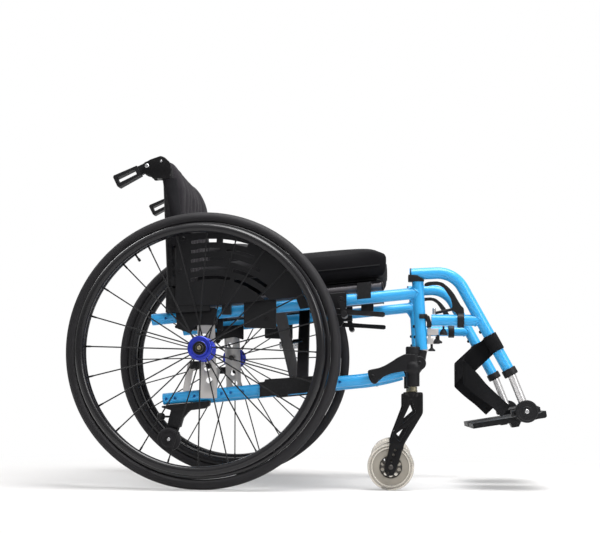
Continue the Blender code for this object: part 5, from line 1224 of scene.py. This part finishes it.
def hanger(name):
    """Painted tube and bar, black cap, saddle and collar, and their screws."""
    y, body = SIDES[name] * FRAME_Y, "hanger_" + name
    path = side_points(hanger_points(), y)
    meet = at(slant_x(BAR_Z), y, BAR_Z)
    bar = pipe([at(0.4866, y, BAR_Z), meet], 0.0123)
    bead = weld_bead(meet, Vector((-1, 0, 0)), DROP_WAY, 0.0124, 0.0017)
    keep("hanger_frame_" + name, gathered(pipe(path, HANG_R), bar, bead), body, "azure_powder_coat",
         ("hanger_tube_" + name,))
    cap = plug(path[0] + Vector((0.0006, 0, 0)), path[0] - path[1], HANG_R + 0.0009)
    keep("hanger_cap_" + name, cap, body, "moulded_black")
    saddle = ((0, 0), (0.0137, 0), (0.0137, 0.0042), (0.0130, 0.0080), (0, 0.0080))
    base = at(POST_TOP.x, y, POST_TOP.y) + POST_UP * GAP
    shoe = gathered(turned(saddle, 0.0010, 40, facing(base, POST_UP)),
                    slab(SADDLE_SIDE, 0.0020, y - 0.0138, y + 0.0138, 0.0012))
    keep("hanger_saddle_" + name, shoe, body, "moulded_black")
    collar = ((0.0129, -0.0010), (0.0152, -0.0010), (0.0158, 0.0010), (0.0158, 0.0130),
              (0.0146, 0.0150), (0.0094, 0.0150), (0.0094, 0.0132), (0.0129, 0.0132))
    spot = facing(at(HANG_END.x, y, HANG_END.y), DROP_WAY)
    keep("hanger_collar_" + name, turned(collar, 0.0006, 40, spot), body, "moulded_black")
    square = Vector((-sin(HANG_DROP), 0, -cos(HANG_DROP)))
    screw("hanger_screw_" + name, at(slant_x(0.3435), y, 0.3435) + square * (HANG_R - 0.0006), square,
          0.0036, 0.0042, body, "moulded_black")


# %% Latch and release lever
HOOK = [(0.4747, 0.3743), (0.4821, 0.3705), (0.4874, 0.3533), (0.4863, 0.3469), (0.4763, 0.3458),
        (0.4772, 0.3576), (0.4736, 0.3640)]
BLADE = [(0.4709, 0.4407), (0.4795, 0.4450), (0.4989, 0.4462), (0.5118, 0.4429), (0.5246, 0.4321),
         (0.5353, 0.4191), (0.5438, 0.4040), (0.5501, 0.3932), (0.5555, 0.3889), (0.5565, 0.3824),
         (0.5560, 0.3700), (0.5418, 0.3700), (0.5400, 0.3780), (0.5300, 0.3849), (0.5319, 0.3953),
         (0.5288, 0.4083), (0.5224, 0.4191), (0.5139, 0.4321), (0.5032, 0.4386), (0.4903, 0.4385),
         (0.4730, 0.4352)]
SLIM_KNOB = ((0, 0), (0.0080, 0), (0.0086, 0.0016), (0.0078, 0.0060), (0.0046, 0.0118),
             (0.0024, 0.0128), (0.0022, 0.0190), (0, 0.0190))
WIDE_KNOB = ((0, 0), (0.0086, 0), (0.0091, 0.0012), (0.0084, 0.0040), (0.0050, 0.0062),
             (0.0032, 0.0080), (0.0030, 0.0180), (0, 0.0180))
LEVER_SLEEVE = ((0.0128, -0.0073), (0.0156, -0.0073), (0.0164, -0.0062), (0.0164, 0.0062),
                (0.0156, 0.0073), (0.0128, 0.0073))


def hanger_latch(name):
    """Hook round the post, two silver blocks below it, and two black knobs under them."""
    side, body = SIDES[name], "hanger_" + name
    y = side * FRAME_Y
    inner, outer, half = TUBE + 0.0007, TUBE + 0.0036, 0.0050
    ring = ((inner, -half), (outer, -half), (outer, half), (inner, half))
    band = turned(ring, 0.0010, 56, facing(at(post_x(0.3696), y, 0.3696), POST_UP))
    opening = post_x(0.3690)
    rear = brick(at(opening - 0.03, y - 0.03, 0.35), at(opening - 0.0015, y + 0.03, 0.39), 0)
    nose = slab(HOOK, 0.0020, y - 0.0090, y + 0.0090, 0.0014)
    keep("hanger_hook_" + name, gathered(cut(band, rear), nose), body, "moulded_black",
         ("hanger_latch_" + name,))
    upper = brick(at(0.4775, y - 0.0072, 0.3304), at(0.5015, y + 0.0072, 0.3441), 0.0010)
    lower = brick(at(0.4775, y - 0.0060, 0.3112), at(0.4907, y + 0.0060, 0.3236), 0.0010)
    link = brick(at(0.4790, y - 0.0030, 0.3200), at(0.4850, y + 0.0030, 0.3480), 0)
    keep("latch_blocks_" + name, gathered(upper, lower, link), body, "plate_aluminium")
    up = Vector((0, 0, 1))
    knobs = gathered(turned(SLIM_KNOB, 0.0006, 32, facing(at(0.5125, y, 0.3306), up)),
                     turned(WIDE_KNOB, 0.0006, 32, facing(at(0.5008, y, 0.3126), up)))
    keep("latch_knobs_" + name, knobs, body, "moulded_black")


def release_lever(name):
    """Sleeve on the level bar with a curved blade, a rod back to the latch and its pin."""
    y, body = SIDES[name] * FRAME_Y, "release_lever_" + name
    grip = turned(LEVER_SLEEVE, 0.0006, 48, facing(at(0.5490, y, BAR_Z), Vector((1, 0, 0))))
    blade = slab(BLADE, 0.0040, y - 0.0058, y + 0.0058, 0)
    inner = pipe([at(0.53, y, BAR_Z), at(0.57, y, BAR_Z)], 0.0128, 48)
    blade = soften(cut(blade, inner), 0.0014, 3, 50)
    rod = pipe([at(0.4945, y, 0.3778), at(0.5345, y, 0.3866)], 0.0031, 16)
    keep("hanger_lever_" + name, gathered(grip, blade, rod), body, "moulded_black",
         ("release_lever_" + name,))
    pin = ((0, 0), (0.0034, 0), (0.0038, 0.0008), (0.0038, 0.0120), (0.0030, 0.0133), (0, 0.0133))
    spot = facing(at(0.4927, y, 0.3753), Vector((0, 0, 1)))
    keep("lever_pin_" + name, turned(pin, 0.0004, 28, spot), body, "turned_steel")


for name in SIDES:
    hanger(name)
    hanger_latch(name)
    release_lever(name)

# %% [markdown]
# The silver tube bends a little and ends in the footplate's hub, a ribbed black disc with a
# bright bolt. The yoke on its inner side holds the pin that the footplate flips on.

# %% Footrest tube, hub and yoke
HUB_C = Vector((0.6872, 0.1688))
HINGE_Y = 0.178
PLATE_PITCH = radians(9.5)


def footrest(name):
    """Silver tube, hub disc with ribs and bolt, and the hinge yoke."""
    side = SIDES[name]
    y, body = side * FRAME_Y, "footrest_" + name
    elbow = HANG_END + DROP * 0.0165
    last = (HUB_C - elbow).normalized()
    bend = [elbow + DROP * 0.004 * (1 - t) ** 2 + last * 0.006 * t for t in (0.4, 1.0)]
    path = [HANG_END - DROP * 0.110, elbow] + bend + [HUB_C + last * 0.002]
    keep("footrest_stem_" + name, pipe(side_points(path, y), 0.0090), body, "satin_tube",
         ("footrest_tube_" + name,))
    spot = facing(at(HUB_C.x, y - side * 0.004, HUB_C.y), Vector((0, side, 0)))
    disc = [(0, 0), (0.0232, 0), (0.0240, 0.0012), (0.0240, 0.0150), (0.0228, 0.0165),
            (0.0200, 0.0170), (0.0190, 0.0158), (0.0110, 0.0158), (0.0100, 0.0168), (0, 0.0168)]
    inner = [at(HUB_C.x, y, HUB_C.y), at(HUB_C.x, side * (HINGE_Y + 0.012), HUB_C.y)]
    hub = gathered(turned(disc, 0.0006, 64, spot), pipe(inner, 0.0150, 40))
    keep("footrest_hub_" + name, hub, body, "moulded_black")
    face = at(HUB_C.x, y + side * 0.0126, HUB_C.y)
    screw("hub_bolt_" + name, face, Vector((0, side, 0)), 0.0050, 0.0028, body)
    pitch = Matrix.Translation(at(HUB_C.x, 0, HUB_C.y)) @ Matrix.Rotation(-PLATE_PITCH, 4, "Y")
    wide, narrow = 0.0305, 0.0225
    parts = []
    for sign in (-1, 1):
        low = Vector((sign * narrow, side * (HINGE_Y - 0.001), -0.0055))
        high = Vector((sign * wide, side * (FRAME_Y - 0.003), 0.0055))
        parts.append(brick(low, high, 0.0012))
        spot = Vector((sign * (narrow + wide) / 2 - 0.0035, side * HINGE_Y, 0))
        parts.append(pipe([spot, spot + Vector((0.007, 0, 0))], 0.0072, 28))
    parts.append(brick((-narrow - 0.001, side * (FRAME_Y - 0.0100), -0.0054),
                       (narrow + 0.001, side * (FRAME_Y - 0.0031), 0.0054), 0.0008))
    rod_end = Vector((narrow + 0.002, side * HINGE_Y, 0))
    parts.append(pipe([rod_end - Vector((2 * rod_end.x, 0, 0)), rod_end], 0.0040, 24))
    yoke = gathered(*parts)
    bmesh.ops.transform(yoke, matrix=pitch, verts=yoke.verts)
    keep("footrest_yoke_" + name, yoke, body, "moulded_black")


for name in SIDES:
    footrest(name)

# %% [markdown]
# The heel strap is a flat band of 38 mm webbing that is sewn round the slanting tube, runs back
# behind the heel, is folded outwards once and comes forward again towards the footplate, with a
# twist. It is laid out flat first. Then every point beyond the crease is rolled round a small
# radius and turned back, so the band keeps its real length and width.

# %% Heel straps
STRAP_W, STRAP_T, STRAP_ROLL, STRAP_LONG = 0.038, 0.0018, 0.0054, 0.2165
STRAP_START, STRAP_CREASE = Vector((0.6189, 0.3159)), Vector((0.5610, 0.2617))
STRAP_TWIST = radians(-42)


def folded_band(y, outward):
    """A straight band in the side view, folded outwards at an upright crease, then twisted."""
    first = (STRAP_CREASE - STRAP_START).normalized()
    second = Vector((-first.x, first.y))
    beyond = Vector((-1, 0))
    across, across_after = Vector((-first.y, first.x)), Vector((-second.y, second.x))
    back = STRAP_CREASE + Vector((0, first.y / -first.x * pi * STRAP_ROLL))
    bm = bmesh.new()
    bmesh.ops.create_grid(bm, x_segments=180, y_segments=14, size=0.5)
    for vert in bm.verts:
        along, aside = (vert.co.x + 0.5) * STRAP_LONG, vert.co.y * STRAP_W
        flat = STRAP_START + first * along + across * aside
        past = (flat - STRAP_CREASE).dot(beyond)
        wave = 0.0012 * sin(pi * along / STRAP_LONG) * sin(9 * along / STRAP_LONG)
        off = wave
        if past > pi * STRAP_ROLL:
            flat -= beyond * (2 * past - pi * STRAP_ROLL)
            off = 2 * STRAP_ROLL - wave
            share = min(1.0, (past - pi * STRAP_ROLL) / 0.05)
            twist = STRAP_TWIST * share * share * (3 - 2 * share)
            side_step = (flat - back).dot(across_after)
            flat -= across_after * side_step * (1 - cos(twist))
            off += side_step * sin(twist)
        elif past > 0:
            turn = past / STRAP_ROLL
            flat += beyond * (STRAP_ROLL * sin(turn) - past)
            off = STRAP_ROLL * (1 - cos(turn)) + wave * cos(turn)
        vert.co = at(flat.x, y + outward * off, flat.y)
    bmesh.ops.recalc_face_normals(bm, faces=bm.faces)
    bmesh.ops.solidify(bm, geom=bm.faces[:], thickness=STRAP_T)
    return bm


def heel_strap(name):
    """Folded webbing and the wrap that is sewn round the tube."""
    side, body = SIDES[name], "hanger_" + name
    centre = at(slant_x(0.3139), side * FRAME_Y, 0.3139)
    wrap = ((HANG_R + 0.0005, -STRAP_W / 2), (HANG_R + 0.0025, -STRAP_W / 2), (HANG_R + 0.0028, 0),
            (HANG_R + 0.0025, STRAP_W / 2), (HANG_R + 0.0005, STRAP_W / 2))
    keep("heel_strap_wrap_" + name, turned(wrap, 0.0006, 40, facing(centre, DROP_WAY)), body,
         "webbing_strap")
    made = keep("heel_strap_band_" + name, folded_band(side * 0.1925, side), body, "webbing_strap",
                ("heel_strap_" + name,), 50)
    print("heel strap", name, "length", STRAP_LONG)


for name in SIDES:
    heel_strap(name)

# %% [markdown]
# ## Folding cross brace
#
# Two arms cross under the seat. Each turns on the lower tube of one side and carries the seat
# rail of the other, and one bolt joins them in the middle. The arms are dark, the rails a
# lighter grey, with black plugs in their ends.

# %% Cross brace
PIVOT_Y = 0.182
RAIL_R = 0.0100
RAIL_UP = 0.025
RAIL_X = (-0.010, 0.382)
ALONG = Vector((cos(TILT), 0, sin(TILT)))


def cross_arm(kind, arm_x, other_x):
    """One arm with its sleeve, its rail and, on arm a, the centre bolt."""
    body = "cross_arm_" + kind
    foot = -1 if kind == "a" else 1
    hinge = low_z(arm_x) + 0.005
    upward = Vector((-sin(TILT), 0, cos(TILT)))
    low = at(arm_x, foot * PIVOT_Y, hinge)
    rise = (0.3735 + RAIL_UP - 0.1980 - 0.005) * cos(TILT)
    high = low + Vector((0, -2 * foot * PIVOT_Y, 0)) + upward * rise
    bar = bmesh.new()
    bmesh.ops.create_cube(bar, size=1.0)
    length = (high - low).length
    bmesh.ops.scale(bar, verts=bar.verts, vec=(0.0255, 0.0145, length))
    axis = (high - low).normalized()
    turn = Matrix((ALONG, axis.cross(ALONG), axis)).transposed().to_4x4()
    bmesh.ops.transform(bar, matrix=Matrix.Translation((low + high) / 2) @ turn, verts=bar.verts)
    soften(bar, 0.0022, 3)
    sleeve = pipe([at(x, foot * PIVOT_Y, low_z(x) + 0.005) for x in (0.1475, 0.2345)], 0.0105)
    keep("brace_arm_" + kind, gathered(bar, sleeve), body, "brace_coat", ("cross_arm_" + kind,))
    ends = [at(x, -foot * PIVOT_Y, top_z(x) + RAIL_UP) for x in RAIL_X]
    keep("seat_rail_" + kind, pipe(ends, RAIL_R), body, "rail_coat")
    caps = [plug(end, end - other, RAIL_R + 0.0012) for end, other in (ends, ends[::-1])]
    keep("seat_rail_plugs_" + kind, gathered(*caps), body, "moulded_black")
    if kind == "a":
        middle = (low + high) / 2
        far = middle + ALONG * ((other_x - arm_x) / cos(TILT))
        aside = (far - middle).normalized()
        spacer = pipe([middle, far - aside * 0.0133], 0.0110, 32)
        bolt = pipe([middle, far + aside * 0.0190], 0.0050, 24)
        keep("brace_bolt", gathered(spacer, bolt), body, "turned_steel")
        nut = ((0.0050, 0), (0.0085, 0), (0.0085, 0.0050), (0.0050, 0.0050))
        keep("brace_nut", turned(nut, 0.0006, 6, facing(far + aside * 0.0132, aside)), body,
             "turned_steel")


cross_arm("a", 0.2070, 0.1690)
cross_arm("b", 0.1690, 0.2070)

# %% [markdown]
# ## Seat
#
# The sling is one sheet of nylon pulled over both rails. The cushion on it is a foam block in a
# sewn cover: it is crowned, its sides pull in between the corners, the front edge is round, and
# piped seams run round it at half height and near its foot. The foam shape comes first, a short
# cloth simulation with pressure then swells it, and the piping follows the simulated surface.

# %% Seat sling
SEAT_X = (-0.030, 0.4040)
SEAT_HALF, SEAT_T, SEAT_CROWN = 0.197, 0.074, 0.008
SLING_SAG, SLING_T = 0.010, 0.0025
SEAT_UP = Vector((-sin(TILT), 0, cos(TILT)))


def sling_sag(y):
    """How far the sling hangs below the rails' tops at y."""
    return SLING_SAG * max(0.0, 1 - (y / (PIVOT_Y - RAIL_R)) ** 2)


def seat_sling():
    """A sagging sheet that lies on both rails."""
    x0, x1 = RAIL_X[0] + 0.004, RAIL_X[1] - 0.004
    middle = (x0 + x1) / 2
    base = at(middle, 0, top_z(middle) + RAIL_UP)
    bm = bmesh.new()
    bmesh.ops.create_grid(bm, x_segments=24, y_segments=40, size=1.0)
    half = PIVOT_Y + RAIL_R
    for vert in bm.verts:
        u, v = vert.co.x, vert.co.y
        y = v * half
        lift = RAIL_R + GAP + SLING_T / 2 - sling_sag(y)
        ripple = 0.0006 * sin(14 * u) * (1 - v * v)
        along = ALONG * (u * (x1 - x0) / 2 / cos(TILT))
        vert.co = base + along + Vector((0, y, 0)) + SEAT_UP * (lift + ripple)
    bmesh.ops.recalc_face_normals(bm, faces=bm.faces)
    bmesh.ops.solidify(bm, geom=bm.faces[:], thickness=SLING_T * 0.6)
    return keep("seat_sling_sheet", bm, None, "seat_cover", ("seat_sling",), 60)


sling = seat_sling()


# %% Cushion foam
EDGE_DROP, CORNER_INSET, DRAWN_IN = 0.009, 0.006, 0.005
FRONT_FROM, FRONT_DROP = 0.80, 0.008


def foam(shrink):
    """A crowned block with drawn-in sides, from a subdivided cube."""
    bm = bmesh.new()
    bmesh.ops.create_cube(bm, size=2.0)
    bmesh.ops.subdivide_edges(bm, edges=bm.edges[:], cuts=23, use_grid_fill=True)
    middle = (SEAT_X[0] + SEAT_X[1]) / 2
    for vert in bm.verts:
        u, v, w = vert.co.x, vert.co.y, (vert.co.z + 1) / 2
        corner = (1 - abs(u) ** 6) * (1 - abs(v) ** 6)
        height = w * SEAT_T + w * SEAT_CROWN * (1 - u * u) * (1 - v * v)
        height -= EDGE_DROP * (1 - corner) * (2 * w - 1)
        belly = 4 * w * (1 - w)
        inset = shrink + CORNER_INSET * (2 * w - 1) ** 4
        half_x = (SEAT_X[1] - SEAT_X[0]) / 2 - inset - DRAWN_IN * (1 - v * v) * (1 - belly)
        half_y = SEAT_HALF - inset - DRAWN_IN * (1 - u * u) * (1 - belly)
        if u > FRONT_FROM and w > 0.5:
            height -= FRONT_DROP * ((u - FRONT_FROM) / 0.20) ** 2.5 * (2 * w - 1)
        y = v * half_y
        base = RAIL_UP + RAIL_R + SLING_T + 0.0012 - (1 - w) * sling_sag(y)
        upright = max(u, 0.0) ** 5 * height * tan(TILT)
        vert.co = (at(middle, y, top_z(middle)) + ALONG * (u * half_x + upright)
                   + SEAT_UP * (base + height))
    return bm


def swollen(made, limit, pressure=3.0, frames=14):
    """Let a closed cover swell by cloth simulation, no further than the limit."""
    start = [v.co.copy() for v in made.data.vertices]
    cloth = made.modifiers.new("swell", "CLOTH")
    cloth.settings.use_pressure = True
    cloth.settings.uniform_pressure_force = pressure
    cloth.settings.effector_weights.gravity = 0.0
    cloth.settings.quality = 6
    scene = bpy.context.scene
    for number in range(1, frames + 1):
        scene.frame_set(number)
    result = made.evaluated_get(bpy.context.evaluated_depsgraph_get())
    after = [v.co.copy() for v in result.data.vertices]
    made.modifiers.remove(cloth)
    scene.frame_set(1)
    for vert, old, new in zip(made.data.vertices, start, after):
        step = new - old
        vert.co = old + step * min(1.0, limit / max(step.length, 1e-9))
    return made


# %% Cushion with its piping
def piping(made, heights, radius):
    """Cords that lie on the cushion where a plane parallel to the seat cuts it."""
    cords = []
    for height in heights:
        bm = bmesh.new()
        bm.from_mesh(made.data)
        plane = at(0, 0, top_z(0)) + SEAT_UP * height
        edge = bmesh.ops.bisect_plane(bm, geom=bm.verts[:] + bm.edges[:] + bm.faces[:],
                                      plane_co=plane, plane_no=SEAT_UP)["geom_cut"]
        points = [g.co.copy() for g in edge if isinstance(g, bmesh.types.BMVert)]
        bm.free()
        centre = sum(points, Vector()) / len(points)
        points.sort(key=lambda p: atan2(p.y - centre.y, (p - centre).dot(ALONG)))
        points = points[::2]
        cords.append(pipe(points + points[:2], radius, 10))
    return gathered(*cords)


cushion = as_object(foam(0.004), "seat_cushion_cover")
swollen(cushion, 0.006)
dress(cushion, None, "seat_cover", ("seat_cushion",), 60)
seams = [RAIL_UP + RAIL_R + height for height in (0.036, 0.008)]
cords = keep("seat_cushion_piping", piping(cushion, seams, 0.0017), None, "seat_border", (), 60)
finer = cushion.modifiers.new("finer", "SUBSURF")
finer.levels = finer.render_levels = 1
for piece in (cushion, cords, sling):
    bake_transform(piece)
print("cushion top", round(max(v.co.z for v in cushion.data.vertices), 4))

# %% [markdown]
# ## Back upholstery
#
# The back is a thick padded panel between the canes, with a flat sleeve round each cane. Its
# front stands forward of the canes and its top edge is rounded off. The panel starts as a cube
# that is divided into a fine grid. One formula gives its front and its rear their places, and
# a second one adds eight soft upright pleats, with a little noise so that none is like the next.

# %% Back panel
BACK_Z = (0.470, 0.7185)
BACK_HALF = 0.1940
PLEATS, PLEAT_DEPTH = 8, 0.0100
HOLLOW, EDGE_DIP, WANDER, CREASE = 0.004, 0.003, 0.0030, 0.0012


def front_x(z):
    """The front of the panel in the side view: upright, then rounded back to the top edge."""
    over = max(0.0, (z - 0.655) / 0.0635)
    return -0.0566 - 0.0275 * over ** 1.5


def back_panel():
    """A padded body with folds, slightly hollow across the middle."""
    bm = bmesh.new()
    bmesh.ops.create_cube(bm, size=2.0)
    bmesh.ops.subdivide_edges(bm, edges=bm.edges[:], cuts=71, use_grid_fill=True)
    for vert in bm.verts:
        depth, v, w = vert.co.x, vert.co.y, (vert.co.z + 1) / 2
        edge = (1 - abs(v) ** 10) * (1 - abs(2 * w - 1) ** 14)
        dip = EDGE_DIP * (1 - v * v) * w ** 4 + EDGE_DIP * abs(v) ** 12 * w ** 4
        z = BACK_Z[0] + w * (BACK_Z[1] - BACK_Z[0]) - dip
        front = front_x(z + dip) - HOLLOW * (1 - abs(v) ** 3)
        rear = cane_x(z) - 0.012 - 0.008 * (1 - v * v)
        sway = 0.35 * sin(5 * w) * (1 - v * v)
        folds = PLEAT_DEPTH * abs(sin(PLEATS / 2 * pi * v + sway)) ** 0.8
        wander = noise.noise(Vector((v * 7, w * 2.2, 0.3))) * WANDER
        creases = noise.noise(Vector((v * 22, w * 5, 1.7))) * CREASE
        share = 0.5 + 0.5 * depth * max(edge, 0.0) ** 0.35
        x = rear + (front - rear) * share + (folds + wander + creases - 0.009) * edge * depth
        inset = 0.004 * depth * depth * (1 if abs(v) > 0.9 else 0) * (abs(v) - 0.9) * 10
        vert.co = at(min(x, -0.0556), v * (BACK_HALF - inset), z)
    return bm


panel = keep("back_panel", back_panel(), "right_frame", "back_cover", ("back_sling",), 60)
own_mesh(panel)


# %% Cane sleeves
SLEEVE_Z, SLEEVE_RINGS = (0.5225, 0.6735), 12


def cane_sleeve(name):
    """Flat sleeve of cloth round a cane."""
    side, body = SIDES[name], name + "_frame"
    y = side * FRAME_Y
    rings = []
    for i in range(SLEEVE_RINGS + 1):
        t = i / SLEEVE_RINGS
        z = SLEEVE_Z[0] + t * (SLEEVE_Z[1] - SLEEVE_Z[0])
        rings.append((z, 0.0165 - 0.0012 * sin(pi * t)))
    bm = bmesh.new()
    bmesh.ops.create_circle(bm, cap_ends=False, segments=40, radius=1.0)
    ring = bm.verts[:]
    flat = [v.co.copy() for v in ring]
    edges = bm.edges[:]
    for i, (z, half) in enumerate(rings):
        if i:
            grown = bmesh.ops.extrude_edge_only(bm, edges=edges)["geom"]
            edges = [g for g in grown if isinstance(g, bmesh.types.BMEdge)]
            new = [g for g in grown if isinstance(g, bmesh.types.BMVert)]
            ring = [min(new, key=lambda n, o=old: (n.co - o.co).length) for old in ring]
        for vert, circle in zip(ring, flat):
            slim = 0.0128 + 0.0006 * sin(9 * z * 6 + circle.x * 3)
            ahead = 0.0036 + min(0.0085, (0.6756 - z) * 0.097)
            vert.co = at(cane_x(z) + ahead + circle.x * half, y + circle.y * slim, z)
    bmesh.ops.recalc_face_normals(bm, faces=bm.faces)
    bmesh.ops.solidify(bm, geom=bm.faces[:], thickness=0.0012)
    made = keep("back_sleeve_" + name, bm, body, "back_hem", (), 60)


for name in SIDES:
    cane_sleeve(name)
